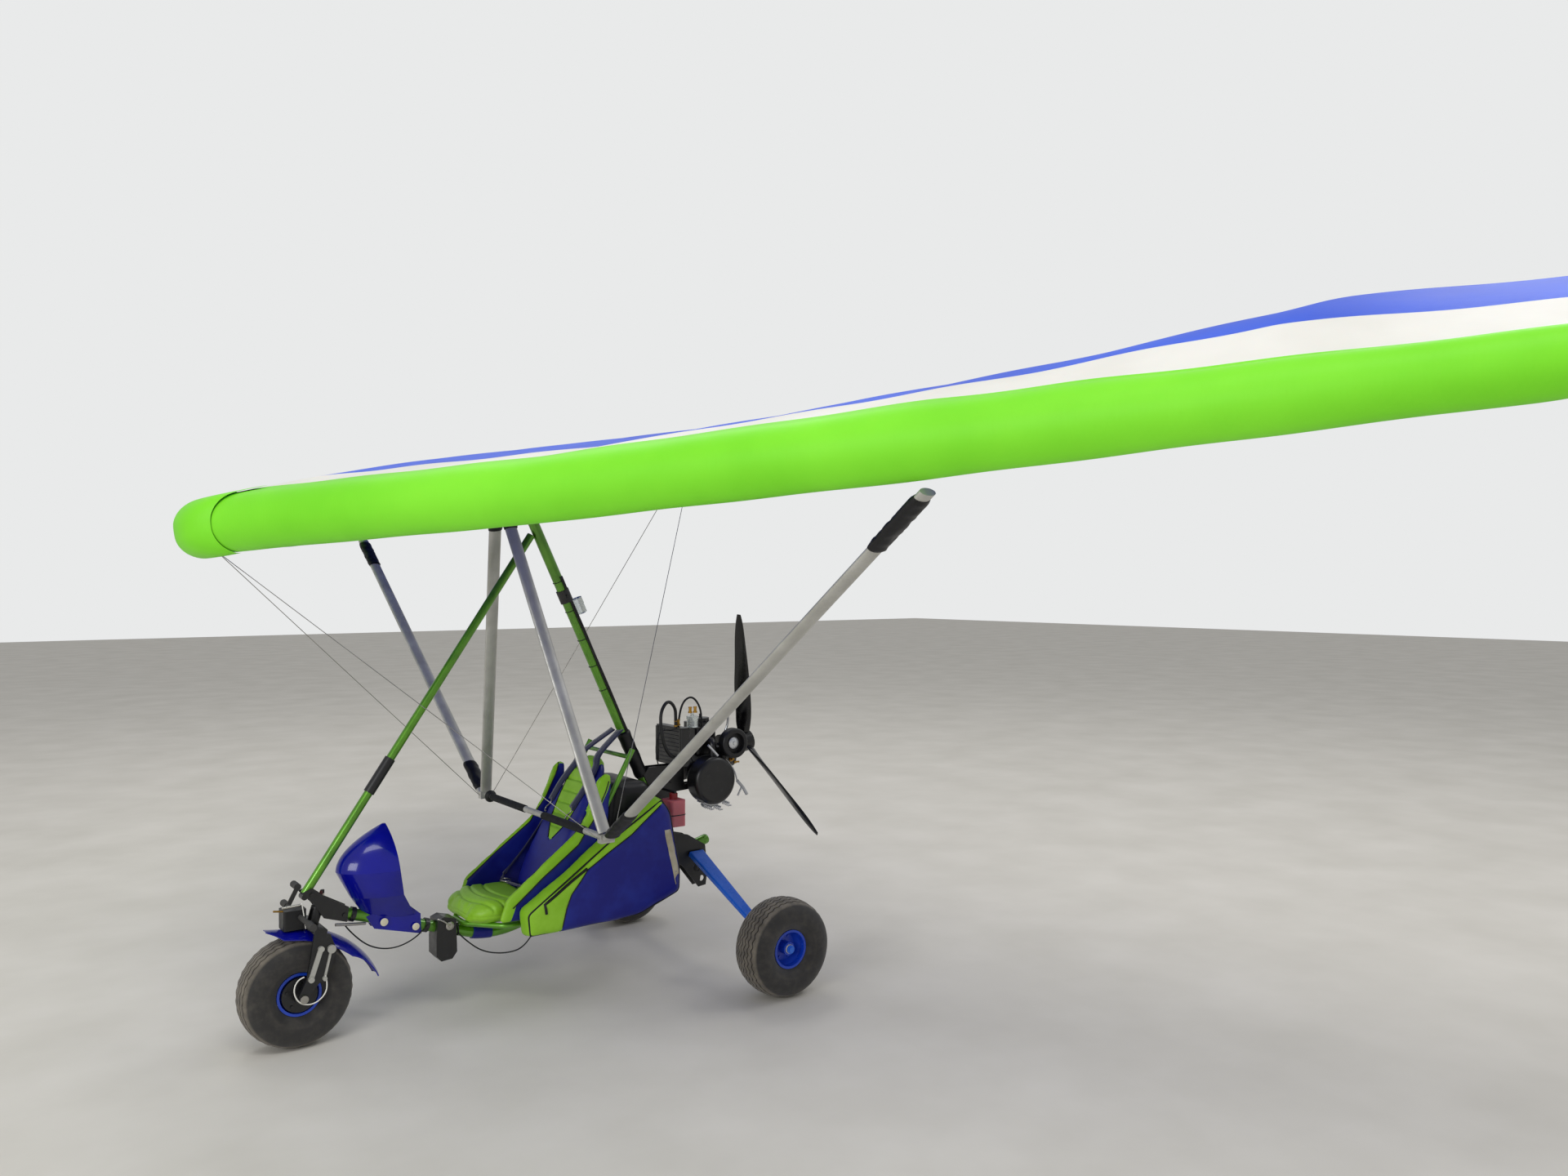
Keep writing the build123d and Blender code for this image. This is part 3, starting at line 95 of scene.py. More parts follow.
# %% [markdown]
# ## Finishes
# A colour is written as the hex value that a screen shows, and one function turns it to the linear light
# that Blender reckons in. A second one adds a node with its settings and its links, so that each recipe
# below reads as the list of what it uses.

# %% Colour and node helpers
MARK = "marked"  # a piece's own value at each point, such as how far inside its second colour it lies


def linear(hex_colour):
    """An sRGB hex colour as linear red, green, blue and full alpha."""
    parts = [int(hex_colour[i : i + 2], 16) / 255 for i in (1, 3, 5)]
    return (*[p / 12.92 if p <= 0.04045 else ((p + 0.055) / 1.055) ** 2.4 for p in parts], 1.0)


def add(tree, kind, inputs=None, **settings):
    """Add one node, with its settings, and fill or link its inputs."""
    made = tree.nodes.new(kind)
    for name, value in settings.items():
        setattr(made, name, value)
    for key, value in (inputs or {}).items():
        if isinstance(value, bpy.types.NodeSocket):
            tree.links.new(value, made.inputs[key])
        else:
            made.inputs[key].default_value = value
    return made


def finish(name, colour, roughness, **sockets):
    """A new material with its uniform values on the shader itself; returns it, its tree and its shader."""
    material = bpy.data.materials.new(name)
    material.use_nodes = True
    shader = material.node_tree.nodes["Principled BSDF"]
    values = {"Base Color": linear(colour), "Roughness": roughness, **sockets}
    for socket, value in values.items():
        shader.inputs[socket.replace("_", " ")].default_value = value
    material.diffuse_color = linear(colour)
    return material, material.node_tree, shader


def metres(tree):
    """The point being shaded, in metres on the machine."""
    return add(tree, "ShaderNodeTexCoord").outputs["Object"]


def ramp(tree, factor, stops):
    """A colour ramp over a factor, from (position, hex colour or grey) stops."""
    made = add(tree, "ShaderNodeValToRGB", {"Fac": factor})
    elements = made.color_ramp.elements
    while len(elements) < len(stops):
        elements.new(0.5)
    for element, (position, value) in zip(elements, stops):
        element.position = position
        element.color = linear(value) if isinstance(value, str) else (value, value, value, 1)
    return made.outputs["Color"]


def cloud(tree, size, detail=3.0, roughness=0.5, stretch=(1, 1, 1)):
    """Soft random patches about this many metres across."""
    place = add(tree, "ShaderNodeMapping", {"Vector": metres(tree), "Scale": stretch})
    inputs = {"Vector": place.outputs[0], "Scale": 1 / size, "Detail": detail, "Roughness": roughness}
    return add(tree, "ShaderNodeTexNoise", inputs).outputs["Fac"]


def mixed(tree, factor, below, above):
    """One colour over another, as far as a factor from 0 to 1 says."""
    inputs = {"Factor": factor, "A": below, "B": above}
    return add(tree, "ShaderNodeMix", inputs, data_type="RGBA").outputs["Result"]


def raise_surface(tree, shader, height, depth, strength=1.0):
    """Light the surface as if height, 0 to 1, stood up by depth metres."""
    inputs = {"Height": height, "Distance": depth, "Strength": strength}
    before = shader.inputs["Normal"].links
    if before:
        inputs["Normal"] = before[0].from_socket
    bump = add(tree, "ShaderNodeBump", inputs)
    tree.links.new(bump.outputs[0], shader.inputs["Normal"])


def connect(tree, shader, **sockets):
    """Link pattern outputs to the shader's sockets."""
    for socket, value in sockets.items():
        tree.links.new(value, shader.inputs[socket.replace("_", " ")])


print("helpers: linear, add, finish, ramp, cloud, raise_surface")

# %% [markdown]
# ### Painted and bare metal
# The frame tubes have a candy coat: clear green lacquer over a bright base, so the metal glows through it
# and the highlight stays sharp. The wing's tubes are drawn aluminium under a thin anodised skin, and the
# fine lines of that drawing stretch each highlight across the tube.

# %% Metals
FLAKE = 0.0006


def candy_coat(name, colour, dark):
    """Tinted clear lacquer over metal flake."""
    material, tree, shader = finish(
        name, colour, 0.34, Metallic=0.55, Coat_Weight=0.7, Coat_Roughness=0.08, Coat_IOR=1.5
    )
    patches = ramp(tree, cloud(tree, 0.09, 4), ((0.3, dark), (0.7, colour)))
    connect(tree, shader, Base_Color=patches)
    flake = add(tree, "ShaderNodeTexVoronoi", {"Vector": metres(tree), "Scale": 1 / FLAKE})
    raise_surface(tree, shader, flake.outputs["Distance"], 0.00008, 0.25)
    return material


def drawn_metal(name, colour, dark, roughness, along, metallic=1.0):
    """Drawn metal: faint scratches along one axis and a dull bloom; less bare where it is anodised."""
    material, tree, shader = finish(name, colour, roughness, Metallic=metallic)
    lines = cloud(tree, 0.004, 2, 0.6, along)
    bloom = cloud(tree, 0.12, 4)
    connect(tree, shader, Base_Color=ramp(tree, bloom, ((0.25, dark), (0.75, colour))))
    connect(tree, shader, Roughness=ramp(tree, lines, ((0.2, roughness - 0.08), (0.8, roughness + 0.14))))
    raise_surface(tree, shader, lines, 0.0001, 0.5)
    return material


def satin_paint(name, colour, worn, roughness=0.42):
    """Sprayed paint or powder coat: orange-peel skin, and rubbed patches where hands and tools reach."""
    material, tree, shader = finish(
        name, colour, roughness, Coat_Weight=0.25, Coat_Roughness=0.25, Coat_IOR=1.5
    )
    rub = ramp(tree, cloud(tree, 0.03, 6, 0.65), ((0.6, colour), (0.78, worn)))
    connect(tree, shader, Base_Color=rub)
    sheen = ramp(tree, cloud(tree, 0.05, 3), ((0.3, roughness - 0.1), (0.7, roughness + 0.12)))
    connect(tree, shader, Roughness=sheen)
    raise_surface(tree, shader, cloud(tree, 0.0025, 2), 0.00015, 0.6)
    return material


GREEN_COAT = candy_coat("green_candy_coat", "#66a81f", "#4c8414")
ALLOY = drawn_metal("anodised_aluminium", "#cfcec8", "#b1b0a9", 0.45, (0.12, 0.12, 0.12), 0.6)
STEEL = drawn_metal("zinc_plated_steel", "#bdbab2", "#8e8b84", 0.3, (1, 1, 1))
BRASS = drawn_metal("cast_brass", "#c99a45", "#94702f", 0.38, (1, 1, 1))
BLACK_COAT = satin_paint("black_powder_coat", "#0c0c0e", "#2b2b2c")
BLUE_COAT = satin_paint("azure_powder_coat", "#1764d6", "#3f82dd", 0.3)
RIM_COAT = satin_paint("rim_blue_enamel", "#1241bd", "#2c4fa5", 0.32)
RED_COAT = satin_paint("oxblood_powder_coat", "#4a1013", "#6e2a26", 0.36)
CREAM_PLASTIC = satin_paint("cream_nylon", "#ddd5be", "#b8ad92", 0.5)
print("metals:", GREEN_COAT.name, ALLOY.name, STEEL.name, BRASS.name, BLACK_COAT.name, BLUE_COAT.name)

# %% [markdown]
# ### Moulded glass fibre, plastics and rubber
# The fairing and mudguard are gel-coated glass fibre: almost black in shadow, with mirror-like reflections
# over a very slight waviness. The tyres are carbon-black rubber, whose ribs hold pale concrete dust.

# %% Gel coat, plastics, rubber and glass


def gel_coat(name, colour, deep):
    """Polished gel coat on glass fibre: clear gloss over a deep colour, gently wavy, with fine dust."""
    material, tree, shader = finish(
        name, colour, 0.2, Specular_IOR_Level=0.25, Coat_Weight=0.5, Coat_Roughness=0.03
    )
    tone = ramp(tree, cloud(tree, 0.25, 2), ((0.3, deep), (0.7, colour)))
    specks = ramp(tree, cloud(tree, 0.0016, 1), ((0.8, 0.0), (0.86, 1.0)))
    connect(tree, shader, Base_Color=mixed(tree, specks, tone, linear("#5a6aa8")))
    raise_surface(tree, shader, cloud(tree, 0.06, 1), 0.0006, 0.5)
    return material


def moulded(name, colour, roughness, grain=0.0012):
    """Injection-moulded plastic with a spark-eroded grain about a millimetre across."""
    material, tree, shader = finish(name, colour, roughness)
    patches = cloud(tree, 0.04, 4)
    connect(tree, shader, Roughness=ramp(tree, patches, ((0.3, roughness - 0.08), (0.7, roughness + 0.1))))
    raise_surface(tree, shader, cloud(tree, grain, 2), 0.0001, 0.7)
    return material


def tyre_rubber(name, colour, dust):
    """Carbon-black rubber: matt, browned by age, with pale dust in patches."""
    material, tree, shader = finish(name, colour, 0.78, Sheen_Weight=0.15, Sheen_Roughness=0.6)
    patches = cloud(tree, 0.05, 6, 0.6)
    aged = ramp(tree, patches, ((0.46, colour), (0.72, "#2c2a27")))
    rib = add(tree, "ShaderNodeAttribute", attribute_name=MARK)
    inputs = {0: rib.outputs["Fac"], 1: patches}
    amount = add(tree, "ShaderNodeMath", inputs, operation="MULTIPLY", use_clamp=True)
    connect(tree, shader, Base_Color=mixed(tree, amount.outputs[0], aged, linear(dust)))
    raise_surface(tree, shader, cloud(tree, 0.0015, 3), 0.0003, 0.8)
    return material


SHELL = gel_coat("blue_gel_coat", "#080d98", "#060970")
BLACK_PLASTIC = moulded("black_nylon", "#0d0d0f", 0.45)
GREY_RUBBER = moulded("grey_rubber", "#3b3a38", 0.75, 0.002)
FOAM = moulded("closed_cell_foam", "#16171a", 0.9, 0.0018)
HOSE_RUBBER = moulded("hose_rubber", "#101113", 0.5, 0.0012)
TYRE = tyre_rubber("tyre_rubber", "#111114", "#857c6d")
BOTTLE = finish("pink_polythene", "#c66a72", 0.35, Subsurface_Weight=0.35, Alpha=0.93)[0]
CLEAR = finish("clear_polycarbonate", "#dfe6e4", 0.08, Transmission_Weight=0.75, IOR=1.58)[0]
CARBON = moulded("black_carbon_blade", "#08080a", 0.22, 0.003)
print("mouldings:", SHELL.name, TYRE.name, BLACK_PLASTIC.name, CLEAR.name)

# %% [markdown]
# ### Fabric
# Three fabrics are sewn into this machine. The sail is resin-filled polyester cloth with a square of heavier
# threads every 5 mm, which makes it crisp and slightly see-through. Seats and bags are coated vinyl with a
# leathery emboss. Straps are woven webbing, whose ribs run across the strap.

# %% Sailcloth, vinyl and webbing
WAVE = 3.2  # a wave texture at scale 1 repeats this many times in a metre
RIPSTOP = 0.005 * 3  # threads 5 mm apart, drawn three times coarser, so that they show from across a room
WEB_RIB = 0.002


def sailcloth(name, colour, shade):
    """Resin-filled polyester: crisp, a little glossy, faintly see-through, with ripstop squares."""
    material, tree, shader = finish(
        name, colour, 0.5, Specular_IOR_Level=0.25, Sheen_Weight=0.03, Subsurface_Weight=0.06,
        Subsurface_Scale=0.02,
    )
    tone = ramp(tree, cloud(tree, 0.5, 3), ((0.3, shade), (0.65, colour)))
    connect(tree, shader, Base_Color=tone)
    for axis in ("X", "Y"):
        inputs = {"Vector": metres(tree), "Scale": 1 / (RIPSTOP * WAVE)}
        threads = add(tree, "ShaderNodeTexWave", inputs, wave_type="BANDS", bands_direction=axis)
        ridges = ramp(tree, threads.outputs["Fac"], ((0.9, 0.0), (1.0, 1.0)))
        raise_surface(tree, shader, ridges, 0.0002, 0.35)
    raise_surface(tree, shader, cloud(tree, 0.18, 3, 0.55), 0.006, 0.25)
    return material


def vinyl(name, colour, worn, emboss=0.003, inset=None):
    """Coated vinyl: pebbled emboss, soft gloss, rubbed places, and a second colour where it is marked."""
    material, tree, shader = finish(
        name, colour, 0.42, Specular_IOR_Level=0.35, Coat_Weight=0.08, Coat_Roughness=0.3, Coat_IOR=1.45
    )
    patches = cloud(tree, 0.13, 5, 0.6)
    tone = ramp(tree, patches, ((0.42, colour), (0.8, worn)))
    if inset:
        mark = add(tree, "ShaderNodeAttribute", attribute_name=MARK)
        inside = add(tree, "ShaderNodeMath", {0: mark.outputs["Fac"], 1: 0.0}, operation="GREATER_THAN")
        other = ramp(tree, patches, ((0.42, inset[0]), (0.8, inset[1])))
        tone = mixed(tree, inside.outputs[0], tone, other)
    connect(tree, shader, Base_Color=tone)
    inputs = {"Vector": metres(tree), "Scale": 1 / emboss}
    pebbles = add(tree, "ShaderNodeTexVoronoi", inputs, feature="SMOOTH_F1")
    raise_surface(tree, shader, pebbles.outputs["Distance"], 0.0003, 0.5)
    return material


def webbing(name, colour, lit):
    """Woven strap: ribs 2 mm apart across the strap, drawn with a broad sheen."""
    material, tree, shader = finish(name, colour, 0.7, Sheen_Weight=0.4, Sheen_Roughness=0.4)
    place = add(tree, "ShaderNodeMapping", {"Vector": metres(tree), "Rotation": (0, radians(33), 0)})
    inputs = {"Vector": place.outputs[0], "Scale": 1 / (WEB_RIB * WAVE)}
    ribs = add(tree, "ShaderNodeTexWave", inputs, bands_direction="Z")
    connect(tree, shader, Base_Color=ramp(tree, ribs.outputs["Fac"], ((0.2, colour), (0.9, lit))))
    raise_surface(tree, shader, ribs.outputs["Fac"], 0.0005, 0.8)
    return material


SAIL_GREEN = sailcloth("lime_sailcloth", "#88ee30", "#7ae024")
SAIL_WHITE = sailcloth("white_sailcloth", "#f1efe8", "#e3e1d9")
SAIL_BLUE = sailcloth("royal_blue_sailcloth", "#2f5fe6", "#2852d2")
# The underside is the same royal blue cloth as the top, made darker here as painted shade.
SAIL_BLUE_PAINTED_SHADE = sailcloth("blue_sailcloth_painted_shade", "#2447b4", "#1e3c9e")
LIME, NAVY = ("#86c01c", "#9bd03a"), ("#0a1178", "#182a92")
VINYL_GREEN = vinyl("lime_vinyl", *LIME)
VINYL_BLUE = vinyl("navy_vinyl", *NAVY)
VINYL_TWO = vinyl("navy_and_lime_vinyl", *NAVY, inset=LIME)
BLACK_CLOTH = vinyl("black_pack_cloth", "#0b0b0e", "#1a1a1e", 0.0016)
STRAP = webbing("navy_webbing", "#0a0d2c", "#1c2354")
PALE_STRIP = vinyl("worn_clear_vinyl", "#a99f86", "#d8d2c0", 0.006)
print("fabrics:", SAIL_GREEN.name, SAIL_WHITE.name, SAIL_BLUE.name, VINYL_GREEN.name, VINYL_BLUE.name)

# %% [markdown]
# ## The frame's own pieces
# Tubes, plates, wheels and engine castings keep their CAD shape. Each only needs its finish in its material
# slot. The list goes by finish, as a paint shop would sort the parts.

# %% Finish the CAD nodes
COATS = {
    GREEN_COAT: ["keel_tube", "mast", "front_strut", "seat_frame"],
    ALLOY: ["downtubes", "wing_struts", "base_bar", "wing_keel", "corner_blocks", "fork_links", "hang_block"],
    STEEL: ["front_axle", "mast_head", "flying_wires"],
    BLACK_COAT: [
        "strut_sleeve", "steering_head", "rear_plates", "keel_box", "engine_block", "gearbox", "radiator",
        "muffler", "engine_mount", "frame_clamps", "fork", "brake_plate", "carburettor", "head_plates",
    ],
    BLUE_COAT: ["main_legs"],
    RIM_COAT: ["nose_rim", "main_rim_port", "main_rim_starboard"],
    RED_COAT: ["head_collar"],
    BLACK_PLASTIC: ["control_box", "air_filter", "bar_grips", "strut_boots", "harness"],
    GREY_RUBBER: ["foot_pegs"],
    SHELL: ["fairing", "fender"],
    TYRE: ["nose_tyre", "main_tyre_port", "main_tyre_starboard"],
    CLEAR: ["beacon", "fuel_bowl"],
    BOTTLE: ["coolant_bottle"],
    CARBON: ["propeller"],
    VINYL_GREEN: ["seat_cushion", "seat_back"],
    VINYL_BLUE: ["seat_sides", "side_pods", "fuel_tank"],
    SAIL_GREEN: ["nose_cone", "leading_edge_pocket"],
    SAIL_WHITE: ["white_band"],
    SAIL_BLUE: ["sail_panel"],
}
for coat, names in COATS.items():
    for name in names:
        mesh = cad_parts[name].data
        mesh.materials.clear()
        mesh.materials.append(coat)
print("finished", sum(len(names) for names in COATS.values()), "CAD nodes")

# %% [markdown]
# ## Making pieces
# Most of what follows is one of four things: a grid of points, a closed skin through rings, a line with a
# round section, or a profile turned about an axle. A small function for each keeps the later cells about the
# machine.

# %% Mesh helpers


def place(obj, material, body):
    """Link a new piece, give it its finish, and let it ride on its body."""
    bpy.context.scene.collection.objects.link(obj)
    obj.data.materials.append(material)
    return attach(obj, body)


def mesh_piece(name, points, faces, material, body):
    """A mesh from points and faces, its normals turned outward."""
    mesh = bpy.data.meshes.new(name)
    mesh.from_pydata([tuple(p) for p in points], [], faces)
    work = bmesh.new()
    work.from_mesh(mesh)
    bmesh.ops.recalc_face_normals(work, faces=work.faces)
    work.to_mesh(mesh)
    work.free()
    mesh.shade_smooth()
    return place(bpy.data.objects.new(name, mesh), material, body)


def quads(rows, columns, loop=False):
    """The faces of a grid of points, its rows closed on themselves where loop is set."""
    steps = [(c, (c + 1) % columns) for c in range(columns if loop else columns - 1)]
    lines = [(r * columns, (r + 1) * columns) for r in range(rows - 1)]
    return [(low + a, low + b, high + b, high + a) for low, high in lines for a, b in steps]


def grid(name, rows, material, body):
    """An open skin through rows of points."""
    return mesh_piece(name, [p for row in rows for p in row], quads(len(rows), len(rows[0])), material, body)


def lofted(name, rings, material, body):
    """A closed skin through rings of points, with a cap at each end."""
    columns = len(rings[0])
    faces = quads(len(rings), columns, loop=True)
    faces.append(tuple(range(columns)))
    faces.append(tuple((len(rings) - 1) * columns + c for c in reversed(range(columns))))
    return mesh_piece(name, [p for ring in rings for p in ring], faces, material, body)


def line(name, points, radius, material, body, smooth=True):
    """A round wire, hose or bar along points: a smooth spline, or straight runs."""
    curve = bpy.data.curves.new(name, "CURVE")
    curve.dimensions = "3D"
    curve.bevel_depth, curve.bevel_resolution, curve.use_fill_caps, curve.resolution_u = radius, 4, True, 8
    spline = curve.splines.new("NURBS" if smooth else "POLY")
    spline.points.add(len(points) - 1)
    for point, control in zip(points, spline.points):
        control.co = (*point, 1)
    if smooth:
        spline.order_u, spline.use_endpoint_u = 3, True
    return place(bpy.data.objects.new(name, curve), material, body)


def turned(name, profile, foot, axis, material, body, segments=40):
    """A profile of (distance along, radius) pairs turned about an axis."""
    axis = Vector(axis).normalized()
    side = axis.orthogonal().normalized()
    other = axis.cross(side)
    spokes = [side * cos(a) + other * sin(a) for a in around(segments)]
    rings = []
    for along, radius in profile:
        rings.append([foot + axis * along + spoke * max(radius, 1e-5) for spoke in spokes])
    return with_edges(lofted(name, rings, material, body))


def around(count):
    """Even steps of angle round a full turn."""
    return np.linspace(0, 2 * pi, count, endpoint=False)


def with_edges(obj, angle=40):
    """Keep the edges sharper than this angle crisp, and shade the rest smooth."""
    obj.data.set_sharp_from_angle(angle=radians(angle))
    return obj


def subdivided(obj):
    """Smooth a piece by one step of subdivision."""
    smooth = obj.modifiers.new("smooth", "SUBSURF")
    smooth.levels = smooth.render_levels = 1
    return obj


def length_of(run):
    """The length of a run of points."""
    return sum((b - a).length for a, b in zip(run, run[1:]))


print("makers: mesh_piece, grid, lofted, line, turned")

# %% [markdown]
# ## The sail
# A weight-shift wing is a sewn bag drawn over tubes and battens. The lofted solid in the CAD model gives its
# volume; here each sewn panel becomes a skin of its own, on the same sections. Battens hold it up in ridges
# and it sags a few millimetres between them, and its trailing edge pulls in between the batten tips.

# %% The wing's sections
STATIONS = np.array([
    # across, leading edge aft, chord, low front, high front, belly, crest, trailing edge
    (0.0, -0.050, 2.370, -0.105, 0.110, -0.070, 0.148, 0.048),
    (0.15, 0.023, 2.300, -0.117, 0.115, -0.080, 0.146, 0.048),
    (1.4, 0.714, 1.930, -0.168, 0.062, -0.090, 0.080, 0.055),
    (2.66, 1.411, 1.520, -0.195, 0.035, -0.075, 0.100, 0.070),
    (3.4, 1.820, 1.284, -0.199, 0.003, -0.063, 0.138, 0.082),
    (4.04, 2.174, 1.080, -0.203, -0.025, -0.050, 0.058, 0.092),
    (4.7, 2.600, 0.760, -0.172, -0.070, -0.015, 0.045, 0.102),
    (4.95, 2.900, 0.400, -0.095, -0.050, 0.010, 0.050, 0.092),
])
SHARES = 1 - np.cos(np.linspace(0, pi / 2, 160))


def circle_through(a, b, c, count=60):
    """Points along the circular arc from a through b to c."""
    (ax, ay), (bx, by), (cx, cy) = a, b, c
    d = 2 * (ax * (by - cy) + bx * (cy - ay) + cx * (ay - by))
    sa, sb, sc = ax * ax + ay * ay, bx * bx + by * by, cx * cx + cy * cy
    ox = (sa * (by - cy) + sb * (cy - ay) + sc * (ay - by)) / d
    oy = (sa * (cx - bx) + sb * (ax - cx) + sc * (bx - ax)) / d
    start, middle, end = (atan2(y - oy, x - ox) for x, y in (a, b, c))
    if (middle - start) % (2 * pi) < (end - start) % (2 * pi):
        sweep = (end - start) % (2 * pi)
    else:
        sweep = -((start - end) % (2 * pi))
    turn = start + sweep * np.linspace(0, 1, count)
    radius = hypot(ax - ox, ay - oy)
    return ox + radius * np.cos(turn), oy + radius * np.sin(turn)


def heights(station):
    """A section's upper and lower height at each of SHARES of its chord."""
    _, lead, chord, low_front, high_front, belly, crest, trail = station
    size = min(0.1, chord * 0.25)
    low, high = (lead + size * 0.8, low_front), (lead + size * 1.15, high_front)
    nose = circle_through(low, (lead, (low_front + high_front) / 2), high)
    tip = int(np.argmin(nose[0]))
    top = circle_through(high, (lead + chord * 0.42, crest), (lead + chord, trail + 0.004))
    base = circle_through((lead + chord, trail - 0.004), (lead + chord * 0.5, belly), low)
    aft = lead + SHARES * chord
    upper = [np.r_[nose[k][tip:], top[k][1:]] for k in (0, 1)]
    lower = [np.r_[nose[k][: tip + 1][::-1], base[k][::-1][1:]] for k in (0, 1)]
    return np.interp(aft, *upper), np.interp(aft, *lower)


UPPER, LOWER = (np.array(rows) for rows in zip(*[heights(station) for station in STATIONS]))


def section(across):
    """Leading edge, chord, and the upper and lower heights at this distance from the centre."""
    lead, chord = (np.interp(across, STATIONS[:, 0], STATIONS[:, k]) for k in (1, 2))
    index = np.interp(across, STATIONS[:, 0], np.arange(len(STATIONS)))
    i = min(int(index), len(STATIONS) - 2)
    share = index - i
    upper, lower = (rows[i] * (1 - share) + rows[i + 1] * share for rows in (UPPER, LOWER))
    return lead, chord, upper, lower


print("wing: chord", STATIONS[0, 2], "m at the root,", STATIONS[-1, 2], "m at the tip")

# %% [markdown]
# A panel's borders are lines of cut and seam. The green pocket wraps the leading edge tube, the white band
# lies behind it on top, and blue fills the rest above and below. Each border is so many metres behind the
# straight line of the leading edge, so that the bands run straight although the tip curves away.

# %% Sew the sail's panels
BATTENS = (0.19, 0.66, 1.14, 1.62, 2.1, 2.58, 3.06, 3.54, 4.02, 4.42, 4.74, 4.95)
EDGE_SLOPE = (STATIONS[3, 1] - STATIONS[1, 1]) / (STATIONS[3, 0] - STATIONS[1, 0])
EDGE_ZERO = STATIONS[1, 1] - EDGE_SLOPE * STATIONS[1, 0]
POCKET_TOP, POCKET_BELOW, BAND_REAR, BAND_TAPER = 0.235, 0.095, 0.475, 0.03
SAG, SCALLOP = 0.006, 0.022
CONE_EDGE = 0.19
SLOT_HALF, SLOT_START, SLOT_END, SLOT_TOP, SLOT_RIDGE = 0.13, 0.26, 2.3, 0.04, 0.008


def between_battens(across):
    """0 on a batten and 1 half way to the next."""
    index = np.interp(across, BATTENS, np.arange(len(BATTENS)))
    return sin(pi * (index % 1)) ** 2 if across > BATTENS[0] else 0.0


def skin_point(across, share, above, lift=0.0):
    """A point of the stretched sail: across, at this share of the chord, on the top or the underside."""
    lead, chord, upper, lower = section(across)
    slack = between_battens(across)
    height = np.interp(share, SHARES, upper if above else lower)
    body = sin(pi * min(1, max(0.0, share)) ** 0.7)
    wrinkle = noise.noise(Vector((across * 3.1, share * chord * 5, 7.0 if above else 2.0))) * 0.003 * body
    height += (-1 if above else 1) * SAG * slack * body + wrinkle + lift * (1 if above else -1)
    aft = lead + share * (chord - SCALLOP * slack * share ** 6)
    return aft, height


def border(across, behind):
    """The share of the chord that lies this far behind the leading edge's straight line."""
    lead, chord, _, _ = section(across)
    seam = EDGE_ZERO + (EDGE_SLOPE - BAND_TAPER) * across + behind
    return min(1.0, max(0.02 / chord, (seam - lead) / chord))


def sewn_panel(name, side, spans, course, material, node):
    """A skin with rows along the span; course gives each row's (share, above) pairs, front to back."""
    rows = [[on_wing(*skin_point(y, s, above), side * y) for s, above in course(y)] for y in spans]
    made = subdivided(grid(name, rows, material, "wing"))
    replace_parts(made, node)
    return made


def pocket_course(across):
    """From under the leading edge, round its front, to the white band's seam."""
    below = min(0.4, POCKET_BELOW / section(across)[1])
    front = [(below * (1 - cos(a)), False) for a in np.linspace(pi / 2, 0, 10)]
    return front + [(border(across, POCKET_TOP) * (1 - cos(a)), True) for a in np.linspace(0, pi / 2, 14)[1:]]


def band_course(across):
    """The white band on top."""
    return [(s, True) for s in np.linspace(border(across, POCKET_TOP), border(across, BAND_REAR), 8)]


def top_course(across):
    """The blue top panel, turned down over the trailing edge."""
    return [(s, True) for s in np.linspace(border(across, BAND_REAR), 1, 26)] + [(1.0, False)]


def under_course(across):
    """The blue underside, from the pocket's seam to the trailing edge."""
    return [(s, False) for s in np.linspace(min(0.4, POCKET_BELOW / section(across)[1]), 1, 30)]


half_span = STATIONS[-1, 0]
root_to_tip = np.linspace(0, half_span, 150)
PANELS = (
    # name, first distance across, course, finish, CAD node
    ("pocket", CONE_EDGE - 0.02, pocket_course, SAIL_GREEN, "leading_edge_pocket"),
    ("band", 0.0, band_course, SAIL_WHITE, "white_band"),
    ("top_panel", 0.0, top_course, SAIL_BLUE, "sail_panel"),
    # the underside takes the darker copy of the blue cloth, as painted shade
    ("under_panel", SLOT_HALF, under_course, SAIL_BLUE_PAINTED_SHADE, "sail_panel"),
)
for side_name, side in SIDES.items():
    for panel, first, course, cloth, node in PANELS:
        spans = [first, *[y for y in root_to_tip if y > first + 0.01]]
        sewn_panel(f"sail_{panel}_{side_name}", side, spans, course, cloth, node)
print("sail: sewed", len(PANELS), "panels on each side")

# %% [markdown]
# The nose cone is a cap that is zipped over the front where the two leading edges meet, so it stands a
# little proud of the pocket and its curved hem shows as a line. A strap closes the sail's middle ahead of
# the keel's channel, and the tips are closed by their last rib.

# %% Nose cone, keel channel and tips
CONE_LIFT, CONE_BELLY, CONE_SWING, CONE_ROUND = 0.004, 0.018, 0.32, 0.08
NOSE_CHORD = 2.35


def cone_row(y):
    """One row of the cap: round where the leading edges meet, its hem swung outboard towards the top."""
    middle = 1 - (abs(y) / CONE_EDGE) ** 2
    bent = min(CONE_EDGE, hypot(y, CONE_ROUND * middle))
    forward = (section(bent)[0] - section(0)[0]) * middle
    row = []
    for share, above in pocket_course(bent):
        aft, up = skin_point(bent, share, above, CONE_LIFT)
        back = share * section(bent)[1] / POCKET_TOP
        belly = CONE_BELLY * middle * (1 - min(1, back)) * (not above)
        swing = 1 + CONE_SWING * back * above
        row.append(on_wing(aft - forward * (1 - min(1, back)) - CONE_LIFT, up - belly, y * swing))
    return row


